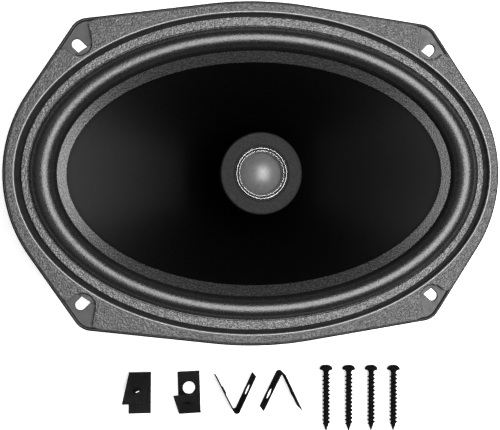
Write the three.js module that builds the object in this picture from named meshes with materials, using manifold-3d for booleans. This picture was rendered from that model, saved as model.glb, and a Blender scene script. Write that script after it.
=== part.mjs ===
// A 6 x 9 inch two-way coaxial car loudspeaker, lying face up on the rear of its
// magnet, with its four mounting screws and four speed clips beside it.
// Millimetres. +Z is the cone axis and points out of the front, X is the long axis
// of the oval. The origin is the centre of the rear face of the motor.

import * as THREE from 'three';
import { mergeVertices } from 'three/addons/utils/BufferGeometryUtils.js';
import Module from 'manifold-3d';

const wasm = await Module();
wasm.setup();

// ---- Driving dimensions ----------------------------------------------------------

// Outline of the stamped flange: two end arcs, two long flat arcs, four corners.
const END_R = 66;
const END_X = 51.3;
const LONG_R = 168;
const HALF_WIDTH = 80.5;
const SIDE_ANGLE = 33.7;
const LONG_ANGLE = 82.2;
const CORNER_R = 9.5;

// Heights above the rear face of the motor.
const FLANGE_REAR = 78.5;
const FLANGE_FRONT = 80;
const RIM_TOP = 81.2;
const STEP_TOP = 81.3;
const GASKET_TOP = 82.6;
const ROLL_TOP = 86.6;

// Ovals of the front, as semi-axes along X and Y.
const GASKET_INNER = [111.8, 74.7];
const RING_OUTER = [108.8, 72.8];
const ROLL_OUTER = [106, 68.6];
const ROLL_INNER = [93, 57.2];
const CONE_EDGE = [89.1, 52.5];

// Mounting slot in each corner.
const SLOT_OUTER = [83.5, 59.3];
const SLOT_ANGLE = 44;
const SLOT_WIDTH = 4.8;
const SLOT_RUN = 4.2;
const CUT_CENTRE = [82.8, 59.8];
const CUT_R = 6.1;

// Motor.
const YOKE_R = 43.5;
const YOKE_THICK = 5.5;
const POLE_R = 12.2;
const POLE_TOP = 26.5;
const MAGNET_R = 46;
const MAGNET_BORE = 22;
const TOP_PLATE_BOTTOM = 21;
const TOP_PLATE_TOP = 26;
const GAP_R = 14.6;
const COIL_IN = 12.75;
const COIL_MID = 13.05;
const COIL_OUT = 13.9;
const LEDGE_TOP = 43;

// Tweeter.
const POST_R = 5;
const POST_BORE = 1.9;
const POST_TOP = 64.5;
const HOUSING_R = 19.2;
const BEZEL_TOP = 84.2;
const TRIM_IN = 10.05;
const TRIM_OUT = 11.95;
const DOME_R = 9.6;
const DOME_TOP = 85.2;

// Mounting kit.
const SCREW_LENGTH = 38;
const SCREW_R = 2.15;
const SCREW_CORE_R = 1.3;
const SCREW_HEAD_R = 3.7;
const SCREW_PITCH = 2.25;
const SCREW_START = [48.4, -104.6];
const SCREW_STEP = [13.03, -0.5];
const CLIP_LEG = 23;
const CLIP_WIDTH = 12.2;
const CLIP_SHEET = 0.7;
const CLIP_BEND = 1.9;
const CLIP_ANGLE = 52;

const OVAL_STEPS = 40;
const ROUND_STEPS = 28;

// ---- Geometry helpers ------------------------------------------------------------

const group = new THREE.Group();
const rad = THREE.MathUtils.degToRad;

// Closed geometry without normals or uvs, its shared vertices merged, as a solid.
function solid(geometry) {
  let g = geometry.clone();
  g.deleteAttribute('normal');
  g.deleteAttribute('uv');
  g = mergeVertices(g, 1e-5);
  const vertProperties = new Float32Array(g.attributes.position.array);
  const triVerts = new Uint32Array(g.index.array);
  return new wasm.Manifold(new wasm.Mesh({ numProp: 3, vertProperties, triVerts }));
}

function geometryOf(body) {
  const mesh = body.getMesh();
  const g = new THREE.BufferGeometry();
  g.setAttribute('position', new THREE.BufferAttribute(mesh.vertProperties, 3));
  g.setIndex(new THREE.BufferAttribute(mesh.triVerts, 1));
  g.computeVertexNormals();
  return g;
}

// A piece of the model. The shape is a three.js geometry or a solid from a boolean.
function piece(name, shape, look, parent = group) {
  const geometry = shape.isBufferGeometry ? shape : geometryOf(shape);
  const [color, roughness, metalness] = look;
  const mesh = new THREE.Mesh(geometry, new THREE.MeshStandardMaterial({ color, roughness, metalness }));
  mesh.name = name;
  parent.add(mesh);
  return mesh;
}

// Skin over a stack of rings with the same number of points each. A closed stack
// joins its last ring to its first; an open one is capped at both ends.
function loft(rings, closed) {
  const n = rings[0].length;
  const positions = rings.flat(2);
  const index = [];
  const pairs = closed ? rings.length : rings.length - 1;
  for (let k = 0; k < pairs; k += 1) {
    const a = k * n;
    const b = ((k + 1) % rings.length) * n;
    for (let i = 0; i < n; i += 1) {
      const j = (i + 1) % n;
      index.push(a + i, a + j, b + j, a + i, b + j, b + i);
    }
  }
  if (!closed) {
    for (const [start, flip] of [[0, true], [(rings.length - 1) * n, false]]) {
      for (let i = 1; i < n - 1; i += 1) {
        if (flip) index.push(start, start + i + 1, start + i);
        else index.push(start, start + i, start + i + 1);
      }
    }
  }
  const g = new THREE.BufferGeometry();
  g.setAttribute('position', new THREE.Float32BufferAttribute(positions, 3));
  g.setIndex(index);
  g.computeVertexNormals();
  return g;
}

// One ring of an oval with semi-axes a and b at height z.
function ovalRing(a, b, z, n = OVAL_STEPS) {
  return Array.from({ length: n }, (_, i) => {
    const t = (2 * Math.PI * i) / n;
    return [a * Math.cos(t), b * Math.sin(t), z];
  });
}

// A closed oval moulding. Its section is a list of [a, b, z], walked so that the
// material is on the left when looking along +Y at the +X end.
function ovalMoulding(section, n = OVAL_STEPS) {
  return loft(section.map(([a, b, z]) => ovalRing(a, b, z, n)), true);
}

// A solid oval plug from z0 to z1.
function ovalPlug([a, b], z0, z1) {
  return solid(loft([ovalRing(a, b, z0), ovalRing(a, b, z1)], false));
}

// A turned part from a closed section of [r, z] points.
function turned(section, steps = ROUND_STEPS) {
  const points = section.map(([r, z]) => new THREE.Vector2(r, z));
  points.push(points[0].clone());
  return new THREE.LatheGeometry(points, steps).rotateX(Math.PI / 2);
}

// A turned part whose open section starts and ends on the axis.
function spun(section, steps = ROUND_STEPS) {
  const points = section.map(([r, z]) => new THREE.Vector2(r, z));
  return new THREE.LatheGeometry(points, steps).rotateX(Math.PI / 2);
}

// A plain ring or sleeve.
function sleeve(rIn, rOut, z0, z1, steps = ROUND_STEPS) {
  return turned([[rIn, z0], [rOut, z0], [rOut, z1], [rIn, z1]], steps);
}

function disc(r, z0, z1, x = 0, y = 0, steps = ROUND_STEPS) {
  const g = new THREE.CylinderGeometry(r, r, z1 - z0, steps).rotateX(Math.PI / 2);
  return g.translate(x, y, (z0 + z1) / 2);
}

function box(x0, x1, y0, y1, z0, z1) {
  const g = new THREE.BoxGeometry(x1 - x0, y1 - y0, z1 - z0);
  return g.translate((x0 + x1) / 2, (y0 + y1) / 2, (z0 + z1) / 2);
}

// A flat outline pushed from z0 to z1.
function prism(points, z0, z1) {
  const shape = new THREE.Shape(points.map(([x, y]) => new THREE.Vector2(x, y)));
  const g = new THREE.ExtrudeGeometry(shape, { depth: z1 - z0, bevelEnabled: false });
  return g.translate(0, 0, z0);
}

function arc(cx, cy, r, from, to, steps) {
  return Array.from({ length: steps + 1 }, (_, i) => {
    const t = rad(from + ((to - from) * i) / steps);
    return [cx + r * Math.cos(t), cy + r * Math.sin(t)];
  });
}

// A round wire or tube along a smooth curve through the points.
function wire(points, r, sides, steps) {
  const path = new THREE.CatmullRomCurve3(points.map((p) => new THREE.Vector3(...p)), false, 'centripetal');
  const circle = arc(0, 0, r, 0, 360 - 360 / sides, sides - 1);
  const shape = new THREE.Shape(circle.map((p) => new THREE.Vector2(...p)));
  return new THREE.ExtrudeGeometry(shape, { steps, extrudePath: path, bevelEnabled: false });
}

// ---- Flange outline --------------------------------------------------------------

// Centre of the corner fillet: a distance CORNER_R inside the tangent line of the end
// arc at SIDE_ANGLE and the tangent line of the long arc at LONG_ANGLE.
function cornerCentre() {
  const [c1, s1] = [Math.cos(rad(SIDE_ANGLE)), Math.sin(rad(SIDE_ANGLE))];
  const [c2, s2] = [Math.cos(rad(LONG_ANGLE)), Math.sin(rad(LONG_ANGLE))];
  const d1 = c1 * END_X + END_R - CORNER_R;
  const d2 = s2 * (HALF_WIDTH - LONG_R) + LONG_R - CORNER_R;
  const det = c1 * s2 - s1 * c2;
  return [(d1 * s2 - d2 * s1) / det, (c1 * d2 - c2 * d1) / det];
}

// The outline moved inward by an inset, as one ring of points at height z.
function outlineRing(inset, z) {
  const [cx, cy] = cornerCentre();
  const long = HALF_WIDTH - LONG_R;
  const ends = [
    ...arc(END_X, 0, END_R - inset, -SIDE_ANGLE, SIDE_ANGLE, 8),
    ...arc(cx, cy, CORNER_R - inset, SIDE_ANGLE, LONG_ANGLE, 4),
    ...arc(0, long, LONG_R - inset, LONG_ANGLE, 180 - LONG_ANGLE, 3),
    ...arc(-cx, cy, CORNER_R - inset, 180 - LONG_ANGLE, 180 - SIDE_ANGLE, 4),
    ...arc(-END_X, 0, END_R - inset, 180 - SIDE_ANGLE, 180 + SIDE_ANGLE, 8),
    ...arc(-cx, -cy, CORNER_R - inset, 180 + SIDE_ANGLE, 180 + LONG_ANGLE, 4),
    ...arc(0, -long, LONG_R - inset, 180 + LONG_ANGLE, 360 - LONG_ANGLE, 3),
    ...arc(cx, -cy, CORNER_R - inset, 360 - LONG_ANGLE, 360 - SIDE_ANGLE, 4),
  ];
  return ends.map(([x, y]) => [x, y, z]);
}

function outlineSolid(section) {
  return solid(loft(section.map(([inset, z]) => outlineRing(inset, z)), false));
}

// A tool for one corner, repeated in all four by mirroring.
function inEachCorner(points, z0, z1) {
  const tools = [];
  for (const sx of [1, -1]) {
    for (const sy of [1, -1]) {
      const placed = points.map(([x, y]) => [sx * x, sy * y]);
      tools.push(solid(prism(placed, z0, z1)));
    }
  }
  return tools;
}

// ---- Looks -----------------------------------------------------------------------

const BLACK_STEEL = [0x2a2b2c, 0.45, 0.6];
const GRAINED = [0x3c3d3f, 0.8, 0.0];
const RUBBER = [0x1d1d1e, 0.55, 0.0];
const CONE_BLACK = [0x141415, 0.35, 0.0];
const ZINC = [0xb8bab6, 0.35, 0.9];
const FERRITE = [0x303234, 0.7, 0.1];
const CLOTH = [0xa8813f, 0.9, 0.0];
const BRAID = [0xb5713f, 0.5, 0.8];
const PLASTIC = [0x26272a, 0.6, 0.0];
const SILVER = [0xc9cbcd, 0.2, 1.0];
const SILK = [0x55585c, 0.5, 0.0];
const COPPER = [0xb46a3a, 0.4, 0.9];
const BOARD = [0x6b4a2c, 0.7, 0.0];
const TIN = [0xc8c8c4, 0.3, 0.9];
const FILM = [0x2f4fa0, 0.4, 0.0];
const SPRING_STEEL = [0x1f1f20, 0.5, 0.5];

// ---- Basket ----------------------------------------------------------------------

// Stamped steel bowl: seat on the motor, cup wall, spider ledge, oval bowl, flange.
const bowlSection = [
  [20.5, 20.5, 26], [41.4, 41.4, 26], [42.4, 42.4, 41.6], [52.6, 52.6, 41.6],
  [61, 55.2, 44], [80.5, 62.5, 51.5], [96.4, 67.6, 61.5], [104.6, 70.6, 71],
  [107.2, 71, 79.2],
  [105.8, 69.6, 79.2], [103.2, 69.2, 71.6], [95.2, 66.3, 62.6], [79.6, 61.3, 52.9],
  [60.6, 54, 45.6], [52, 52, 43], [41, 41, 43], [40, 40, 27.4], [20.5, 20.5, 27.4],
];
const rimSection = [
  [0.5, FLANGE_REAR], [0, FLANGE_REAR + 0.5], [0, RIM_TOP - 0.5], [0.5, RIM_TOP],
  [1.1, RIM_TOP], [1.6, FLANGE_FRONT],
];
let basket = outlineSolid(rimSection).subtract(ovalPlug([105.8, 69.6], 70, 90));
basket = basket.add(solid(ovalMoulding(bowlSection)));

// Six windows in the bowl, between six spokes. Each is a wedge that opens outward.
const WINDOW_SPAN = 45;
const WINDOW_LOW = 47.5;
const WINDOW_HIGH = 69;
function windowWedge(centre) {
  const half = WINDOW_SPAN / 2;
  const outline = [];
  for (const t of [-1, 0, 1]) outline.push([centre + t * half * 0.92, WINDOW_LOW]);
  outline.push([centre + half, WINDOW_LOW + 4], [centre + half, WINDOW_HIGH - 5]);
  for (const t of [1, 0, -1]) outline.push([centre + t * half * 0.86, WINDOW_HIGH]);
  outline.push([centre - half, WINDOW_HIGH - 5], [centre - half, WINDOW_LOW + 4]);
  const rings = [[44, 40], [125, 92]].map(([a, b]) => outline.map(([angle, z]) => {
    const t = rad(angle);
    return [a * Math.cos(t), b * Math.sin(t), z];
  }));
  return solid(loft(rings, false));
}
for (let k = 0; k < 6; k += 1) basket = basket.subtract(windowWedge(30 + 60 * k));

// Shelf for the terminal board, outside the -Y window, and the pass for its lugs.
basket = basket.add(solid(box(-17, 17, -64, -47, 41.6, 43)));
basket = basket.subtract(solid(box(-16.5, 16.5, -66, -52.2, 43, 49)));
for (const x of [-13, 13]) basket = basket.subtract(solid(disc(1.6, 40, 45, x, -60, 12)));

// Mounting slots.
const slotDir = [Math.cos(rad(SLOT_ANGLE)), Math.sin(rad(SLOT_ANGLE))];
const slotIn = [SLOT_OUTER[0] - SLOT_RUN * slotDir[0], SLOT_OUTER[1] - SLOT_RUN * slotDir[1]];
const slotShape = [
  ...arc(...SLOT_OUTER, SLOT_WIDTH / 2, SLOT_ANGLE - 90, SLOT_ANGLE + 90, 8),
  ...arc(...slotIn, SLOT_WIDTH / 2, SLOT_ANGLE + 90, SLOT_ANGLE + 270, 8),
];
for (const tool of inEachCorner(slotShape, 70, 90)) basket = basket.subtract(tool);

// Rivet holes between the seat and the top plate.
const RIVET_ANGLES = [45, 135, 225, 315];
const RIVET_RING = 31;
const rivetSpots = RIVET_ANGLES.map((t) => [RIVET_RING * Math.cos(rad(t)), RIVET_RING * Math.sin(rad(t))]);
for (const [x, y] of rivetSpots) basket = basket.subtract(solid(disc(2.1, 25, 29, x, y, 10)));
piece('basket', basket, BLACK_STEEL);

// ---- Front gasket and clamp ring -------------------------------------------------

// Grained moulding round the flange. It is cut back round each slot, in an S on both
// sides of a round bay, and a low step crosses the inner side of the bay.
const bay = [
  [76.6, 75], [76.9, 69.9], [77.8, 69.7], [78.3, 69], [78.35, 68], [77.9, 65.6],
  ...arc(...CUT_CENTRE, CUT_R, 168, 310, 12),
  [87.9, 56.1], [88.7, 56.7], [89.5, 56.9], [90.2, 56.7], [96, 56.5], [96, 75],
];
// The step keeps the part of the bay on the cone side of a line across the slot.
const STEP_NORMAL = 55;
const STEP_LINE = 92.8;
const stepDir = [Math.cos(rad(STEP_NORMAL)), Math.sin(rad(STEP_NORMAL))];
function alongStep(run, away) {
  const d = STEP_LINE + away;
  return [stepDir[0] * d - stepDir[1] * run, stepDir[1] * d + stepDir[0] * run];
}
const beyondStep = [alongStep(-30, 0), alongStep(-30, 40), alongStep(40, 40), alongStep(40, 0)];
let gasket = outlineSolid([
  [2, FLANGE_FRONT], [2, GASKET_TOP - 0.8], [2.3, GASKET_TOP - 0.2], [2.9, GASKET_TOP],
]);
gasket = gasket.subtract(ovalPlug(GASKET_INNER, 70, 90));
const bays = inEachCorner(bay, STEP_TOP, 90);
const deepBays = inEachCorner(bay, 70, 90);
const outside = inEachCorner(beyondStep, 70, 90);
for (let k = 0; k < 4; k += 1) {
  gasket = gasket.subtract(bays[k]);
  gasket = gasket.subtract(deepBays[k].intersect(outside[k]));
}
piece('front_gasket', gasket, GRAINED);

// Ring that holds the outer lip of the surround down on the flange.
const LIP_TOP = FLANGE_FRONT + 0.8;
piece('surround_clamp_ring', ovalMoulding([
  [106.1, 68.7, LIP_TOP], [...RING_OUTER, LIP_TOP], [...RING_OUTER, 81.9], [108.4, 72.4, 82.3],
  [106.1, 68.7, 82.3],
]), GRAINED);

// ---- Surround, cone and voice coil -----------------------------------------------

// Half roll of rubber with a flat outer lip and a sloping inner lip on the cone.
function rollPoints(lift, grow, steps) {
  return Array.from({ length: steps + 1 }, (_, i) => {
    const t = (Math.PI * i) / steps;
    const mid = [(ROLL_OUTER[0] + ROLL_INNER[0]) / 2, (ROLL_OUTER[1] + ROLL_INNER[1]) / 2];
    const halfA = (ROLL_OUTER[0] - ROLL_INNER[0]) / 2 - 0.25 - grow;
    const halfB = (ROLL_OUTER[1] - ROLL_INNER[1]) / 2 - 0.25 - grow;
    const base = LIP_TOP - (0.9 * i) / steps;
    const rise = ROLL_TOP - LIP_TOP - lift;
    return [mid[0] + halfA * Math.cos(t), mid[1] + halfB * Math.cos(t), base + rise * Math.sin(t)];
  });
}
const RIM_Z = 79.6;
const EDGE_Z = 77.1;
piece('surround', ovalMoulding([
  [105.2, 67.9, FLANGE_FRONT], [...RING_OUTER, FLANGE_FRONT], [...RING_OUTER, LIP_TOP],
  ...rollPoints(0, 0, 5),
  [...CONE_EDGE, EDGE_Z + 0.7], [...CONE_EDGE, EDGE_Z + 0.1],
  [92.6, 56.8, RIM_Z - 0.3],
  ...rollPoints(0.7, 0.7, 5).reverse(),
]), RUBBER);

// Oval cone that runs into a round neck on the voice coil former. Its profile is
// steeper towards the neck.
const NECK_R = 13.4;
const NECK_Z = 49;
const CONE_THICK = 0.9;
function conePoint(s, drop) {
  const a = NECK_R + (CONE_EDGE[0] - NECK_R) * s;
  const b = NECK_R + (CONE_EDGE[1] - NECK_R) * s;
  return [a, b, NECK_Z + (EDGE_Z - NECK_Z) * s ** 0.8 - drop];
}
const coneStops = [0, 0.1, 0.3, 0.6, 1];
piece('cone', ovalMoulding([
  ...coneStops.map((s) => conePoint(s, CONE_THICK)),
  [92.4, 56.6, RIM_Z - 0.6 - CONE_THICK], [92.4, 56.6, RIM_Z - 0.6],
  ...coneStops.map((s) => conePoint(s, 0)).reverse(),
]), CONE_BLACK);

piece('voice_coil_former', sleeve(COIL_IN, COIL_MID, 17, 49.4), COPPER);
piece('voice_coil_winding', sleeve(COIL_MID, COIL_OUT, 18, 29), COPPER);

// Corrugated cloth spider from the ledge to the former.
const SPIDER_OUT = 51;
const WAVES = 3;
function spiderPoints(drop) {
  const points = [];
  for (let i = 0; i <= WAVES * 2; i += 1) {
    const r = 17 + ((43 - 17) * i) / (WAVES * 2);
    points.push([r, 44.9 + (i % 2 ? 1.3 : -0.6) - drop]);
  }
  return points;
}
piece('spider', turned([
  [COIL_MID + 0.1, 44.3], [16, 44.3], ...spiderPoints(0.6), [44.5, LEDGE_TOP], [SPIDER_OUT, LEDGE_TOP],
  [SPIDER_OUT, 43.6], [44.6, 43.6], ...spiderPoints(0).reverse(), [16, 44.9], [COIL_MID + 0.1, 44.9],
]), CLOTH);

// Braided leads from the terminal lugs to the neck of the cone.
for (const [name, side] of [['tinsel_lead_positive', 1], ['tinsel_lead_negative', -1]]) {
  piece(name, wire([
    [side * 7, -53.2, 46.4], [side * 7.4, -49, 48.4], [side * 7.8, -41, 49.4], [side * 7.6, -31, 49],
    [side * 6.8, -22, 48], [side * 5.6, -14.9, 47.8],
  ], 0.7, 8, 12), BRAID);
}

// ---- Motor -----------------------------------------------------------------------

// Rear plate and pole in one forging. A groove in the rear face leads the tweeter
// cable from the bored pole to the edge.
const GROOVE_HALF = 1.8;
const GROOVE_DEEP = 3.4;
let yoke = solid(turned([
  [POST_R + 0.12, 0], [YOKE_R - 1, 0], [YOKE_R, 1], [YOKE_R, YOKE_THICK],
  [POLE_R + 2, YOKE_THICK], [POLE_R, YOKE_THICK + 2], [POLE_R, POLE_TOP - 0.6],
  [POLE_R - 0.6, POLE_TOP], [POST_R + 0.12, POLE_TOP],
]));
yoke = yoke.subtract(solid(box(-GROOVE_HALF, GROOVE_HALF, -50, 0, -1, GROOVE_DEEP)));
piece('t_yoke', yoke, ZINC);
piece('magnet', turned([
  [MAGNET_BORE, YOKE_THICK], [MAGNET_R - 1, YOKE_THICK], [MAGNET_R, YOKE_THICK + 1],
  [MAGNET_R, TOP_PLATE_BOTTOM - 1], [MAGNET_R - 1, TOP_PLATE_BOTTOM], [MAGNET_BORE, TOP_PLATE_BOTTOM],
]), FERRITE);
let topPlate = solid(turned([
  [GAP_R, TOP_PLATE_BOTTOM], [YOKE_R - 0.6, TOP_PLATE_BOTTOM], [YOKE_R, TOP_PLATE_BOTTOM + 0.6],
  [YOKE_R, TOP_PLATE_TOP], [GAP_R, TOP_PLATE_TOP],
]));
for (const [x, y] of rivetSpots) topPlate = topPlate.subtract(solid(disc(2.1, 22, 27, x, y, 10)));
piece('top_plate', topPlate, ZINC);
rivetSpots.forEach(([x, y], k) => {
  const shape = spun([[0, 22.3], [1.9, 22.3], [1.9, 27.5], [3.6, 27.5], [3, 28.7], [0, 29.2]], 10);
  piece(`basket_rivet_${k + 1}`, shape.translate(x, y, 0), ZINC);
});

// ---- Tweeter ---------------------------------------------------------------------

// Hollow post through the pole. Its lower end is closed and flush with the rear face,
// and a window above it lets the cable out into the groove.
let post = solid(spun([
  [0, 0], [POST_R, 0], [POST_R, POST_TOP - 2.4], [8.4, POST_TOP - 1.8], [8.4, POST_TOP],
  [0, POST_TOP],
], 20));
post = post.subtract(solid(disc(POST_BORE, 1, 80, 0, 0, 12)));
post = post.subtract(solid(box(-1.6, 1.6, -8, 0, 1, GROOVE_DEEP + 1.6)));
piece('tweeter_post', post, SILVER);

piece('tweeter_housing', turned([
  [2.6, POST_TOP], [11, POST_TOP], [15.6, 66.6], [18.4, 73], [HOUSING_R, 82],
  [18.2, 82], [17.1, 73.4], [14, 67.6], [2.6, 66.9],
]), PLASTIC);
piece('tweeter_bezel', turned([
  [TRIM_OUT + 0.1, 82], [HOUSING_R, 82], [HOUSING_R, 83.5], [HOUSING_R - 0.7, BEZEL_TOP],
  [TRIM_OUT + 0.1, BEZEL_TOP],
]), PLASTIC);
piece('tweeter_yoke', turned([
  [1.2, 67.6], [12.9, 67.6], [12.9, 78.2], [10.3, 78.2], [10.3, 69.1], [1.2, 69.1],
], 24), ZINC);
piece('tweeter_magnet', disc(8, 69.1, 74.4, 0, 0, 24), SILVER);
piece('tweeter_top_plate', disc(8.5, 74.4, 77.2, 0, 0, 24), ZINC);
piece('tweeter_voice_coil', sleeve(8.9, 9.6, 73.6, 81.2, 24), COPPER);

// Silver trim ring with two fine crests and a groove between them.
const TRIM_MID = (TRIM_IN + TRIM_OUT) / 2;
piece('tweeter_trim_ring', turned([
  [TRIM_MID, 81.2], [TRIM_OUT, 81.2], [TRIM_OUT, 84.5], [TRIM_OUT - 0.45, 84.8], [TRIM_MID, 84],
  [TRIM_IN + 0.3, 84.6], [TRIM_IN, 83.4], [TRIM_MID, 83.2],
]), SILVER);

// Dome and its narrow edge roll, in one skin.
const DOME_BASE = 81.6;
const DOME_RISE = DOME_TOP - DOME_BASE;
function domePoints(shrink, steps) {
  const sphere = (DOME_R ** 2 + DOME_RISE ** 2) / (2 * DOME_RISE);
  const half = Math.asin(DOME_R / sphere);
  return Array.from({ length: steps + 1 }, (_, i) => {
    const t = (half * (steps - i)) / steps;
    return [(sphere - shrink) * Math.sin(t), DOME_TOP - sphere + (sphere - shrink) * Math.cos(t)];
  });
}
piece('tweeter_dome', spun([
  ...domePoints(0.4, 4).reverse(), [DOME_R - 0.1, 81.2], [TRIM_MID - 0.2, 81.6],
  [TRIM_MID - 0.2, 82.2], [TRIM_MID - 0.8, 82.7],
  ...domePoints(0, 4),
], 28), SILK);

// Cable from the tweeter, down the post, along the groove and up to the terminals.
piece('tweeter_cable', wire([
  [0, 0, 66.6], [0, 0, 40], [0, 0, 12], [0, -0.3, 5.4], [0, -1.8, 3], [0, -5, 2.1], [0, -20, 2.1],
  [0, -42, 2.1], [0, -46.2, 2.8], [-0.4, -48.4, 6], [-1, -48.6, 14], [-3, -48.6, 24], [-8, -51, 31],
  [-11.4, -56, 35], [-10.6, -63, 38], [-8.4, -66.6, 41], [-7, -67.4, 43.9],
], 1.1, 8, 40), RUBBER);

// ---- Terminals -------------------------------------------------------------------

let board = solid(box(-16, 16, -63.5, -52.4, 43, 44.6));
for (const x of [-13, 13]) board = board.subtract(solid(disc(1.6, 42, 46, x, -60, 12)));
piece('terminal_board', board, BOARD);
for (const [name, x, wide] of [['terminal_positive', 7, 4.8], ['terminal_negative', -7, 2.8]]) {
  const half = wide / 2;
  const shape = prism([
    [x - 2.6, -62], [x - half, -63.2], [x - half, -69.8], [x - half + 0.8, -70.8],
    [x + half - 0.8, -70.8], [x + half, -69.8], [x + half, -63.2], [x + 2.6, -62],
    [x + 2.6, -56], [x + 1.2, -54.8], [x + 1.2, -51.4], [x - 1.2, -51.4], [x - 1.2, -54.8], [x - 2.6, -56],
  ], 44.6, 45.4);
  piece(name, solid(shape).subtract(solid(disc(0.7, 44, 46, x, -68.4, 10))), TIN);
}
[-13, 13].forEach((x, k) => {
  const shape = spun([
    [0, 40.6], [2.4, 40.6], [2.6, 41.6], [1.45, 41.6], [1.45, 44.6], [2.7, 44.6], [2.3, 45.5], [0, 45.8],
  ], 10);
  piece(`terminal_rivet_${k + 1}`, shape.translate(x, -60, 0), ZINC);
});

// Small non-polar capacitor under the shelf, in series with the tweeter.
const CAP_R = 3.9;
const capBody = spun([
  [0, -7], [CAP_R - 0.5, -7], [CAP_R, -6.5], [CAP_R, 6.5], [CAP_R - 0.5, 7], [0, 7],
], 14).rotateY(Math.PI / 2).translate(0, -57.5, 37.4);
let capacitor = solid(capBody);
capacitor = capacitor.add(solid(wire([
  [6, -57.5, 37.4], [8.6, -57.5, 37.4], [10.6, -60, 37.6], [10.4, -64, 39.4], [8.6, -66.6, 41.6],
  [7, -67.2, 44.2],
], 0.4, 5, 14)));
capacitor = capacitor.add(solid(wire([
  [-6, -57.5, 37.4], [-7.6, -57.5, 37.4], [-9.4, -57.5, 37.2],
], 0.4, 5, 3)));
piece('crossover_capacitor', capacitor, FILM);

// ---- Mounting kit ----------------------------------------------------------------

// Self-tapping screw along +Z from its point: a tapered tip, ridges and a pan head.
function screwSection() {
  const headLow = SCREW_LENGTH - 2.5;
  const threads = Math.floor((headLow - 6.2) / SCREW_PITCH);
  const section = [[0, 0], [0.9, 2.6]];
  for (let k = 0; k <= threads; k += 1) {
    const z = 3.4 + k * SCREW_PITCH;
    const taper = Math.min(1, 0.62 + z * 0.055);
    section.push([SCREW_CORE_R * taper, z], [SCREW_R * taper, z + SCREW_PITCH / 2]);
  }
  section.push([SCREW_CORE_R, headLow - 1.2], [2.1, headLow], [SCREW_HEAD_R, headLow]);
  section.push([SCREW_HEAD_R, headLow + 0.4], [3, headLow + 1.7], [1.9, headLow + 2.4], [0, SCREW_LENGTH]);
  return section;
}
const screwTilt = Math.atan((SCREW_HEAD_R - SCREW_R) / (SCREW_LENGTH - 2.5 - 8));
const SCREW_SIDES = 7;
for (let k = 0; k < 4; k += 1) {
  const x = SCREW_START[0] + k * SCREW_STEP[0];
  const headY = SCREW_START[1] + k * SCREW_STEP[1];
  let screw = solid(spun(screwSection(), SCREW_SIDES));
  // Cross recess in the crown of the head.
  for (const [w, d] of [[2.6, 0.5], [0.5, 2.6]]) {
    screw = screw.subtract(solid(box(-w, w, -d, d, SCREW_LENGTH - 1.5, SCREW_LENGTH + 1)));
  }
  // Laid on its side with the head towards the speaker, resting on head and thread.
  const lay = new THREE.Matrix4().makeTranslation(x, headY - SCREW_LENGTH, 0);
  lay.multiply(new THREE.Matrix4().makeRotationX(screwTilt));
  lay.multiply(new THREE.Matrix4().makeRotationX(-Math.PI / 2));
  lay.multiply(new THREE.Matrix4().makeRotationZ(Math.PI / SCREW_SIDES));
  const shape = geometryOf(screw).applyMatrix4(lay);
  shape.computeBoundingBox();
  shape.translate(0, 0, -shape.boundingBox.min.z);
  piece(`mounting_screw_${k + 1}`, shape, SPRING_STEEL);
}

// Speed clip: a strip bent into a V. The bend is at the origin and the legs run out at
// half of CLIP_ANGLE on each side of +X, with the strip's width along Z. The upper leg
// has the thread hole and the lower one the clearance hole. The upper leg of a loose
// clip is a little out of line, by lean at its tip.
function clipGeometry(lean) {
  const t = CLIP_SHEET;
  const r = CLIP_BEND;
  const half = rad(CLIP_ANGLE / 2);
  // The centre of the bend is on the bisector, and both legs are tangent to the bend.
  const leg = CLIP_LEG - CLIP_BEND;
  const end = (sign, radius) => [
    leg * Math.cos(half) - radius * Math.sin(half),
    sign * (leg * Math.sin(half) + radius * Math.cos(half)),
  ];
  const turn = CLIP_ANGLE / 2;
  const outer = arc(0, 0, r, 90 + turn, 270 - turn, 6);
  const inner = arc(0, 0, r - t, 270 - turn, 90 + turn, 6);
  const profile = [end(1, r), ...outer, end(-1, r), end(-1, r - t), ...inner, end(1, r - t)];
  let clip = solid(prism(profile, -CLIP_WIDTH / 2, CLIP_WIDTH / 2));
  for (const [sign, hole, run] of [[1, 1.7, 12], [-1, 3.4, 12]]) {
    const drill = disc(hole, -2, 2, 0, 0, 14).rotateX(Math.PI / 2);
    drill.translate(run, sign * (r - t / 2), 0).rotateZ(sign * half);
    clip = clip.subtract(solid(drill));
  }
  const shape = geometryOf(clip);
  const at = shape.attributes.position;
  for (let i = 0; i < at.count; i += 1) {
    const run = at.getX(i) * Math.cos(half) + at.getY(i) * Math.sin(half);
    if (at.getY(i) > 0.5 && run > 0) at.setZ(i, at.getZ(i) + (lean * run) / leg);
  }
  return shape;
}
// Two clips lie on the lower leg and two stand on edge. spin turns the V about Z.
const clipPlaces = [
  { flat: true, spin: -91, lean: 3.8, x: -55.2, y: -106.9 },
  { flat: true, spin: 91, lean: -3.8, x: -28.2, y: -126.9 },
  { flat: false, spin: 90, lean: 0, x: -3.4, y: -126.2 },
  { flat: false, spin: -91, lean: 0, x: 22.2, y: -108.9 },
];
clipPlaces.forEach(({ flat, spin, lean, x, y }, k) => {
  const shape = clipGeometry(lean);
  if (flat) shape.rotateZ(rad(CLIP_ANGLE / 2)).rotateX(Math.PI / 2);
  shape.rotateZ(rad(spin));
  shape.computeBoundingBox();
  shape.translate(x, y, -shape.boundingBox.min.z);
  piece(`speed_clip_${k + 1}`, shape, SPRING_STEEL);
});

export default group;
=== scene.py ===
"""Visual model of a 6 x 9 inch two-way coaxial car loudspeaker and its mounting kit.

Shapes are made in millimetres and scaled to metres when a mesh is written. +Z is the
cone axis, X the long axis of the oval, and the origin the centre of the motor's rear face.
"""

import math

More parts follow.
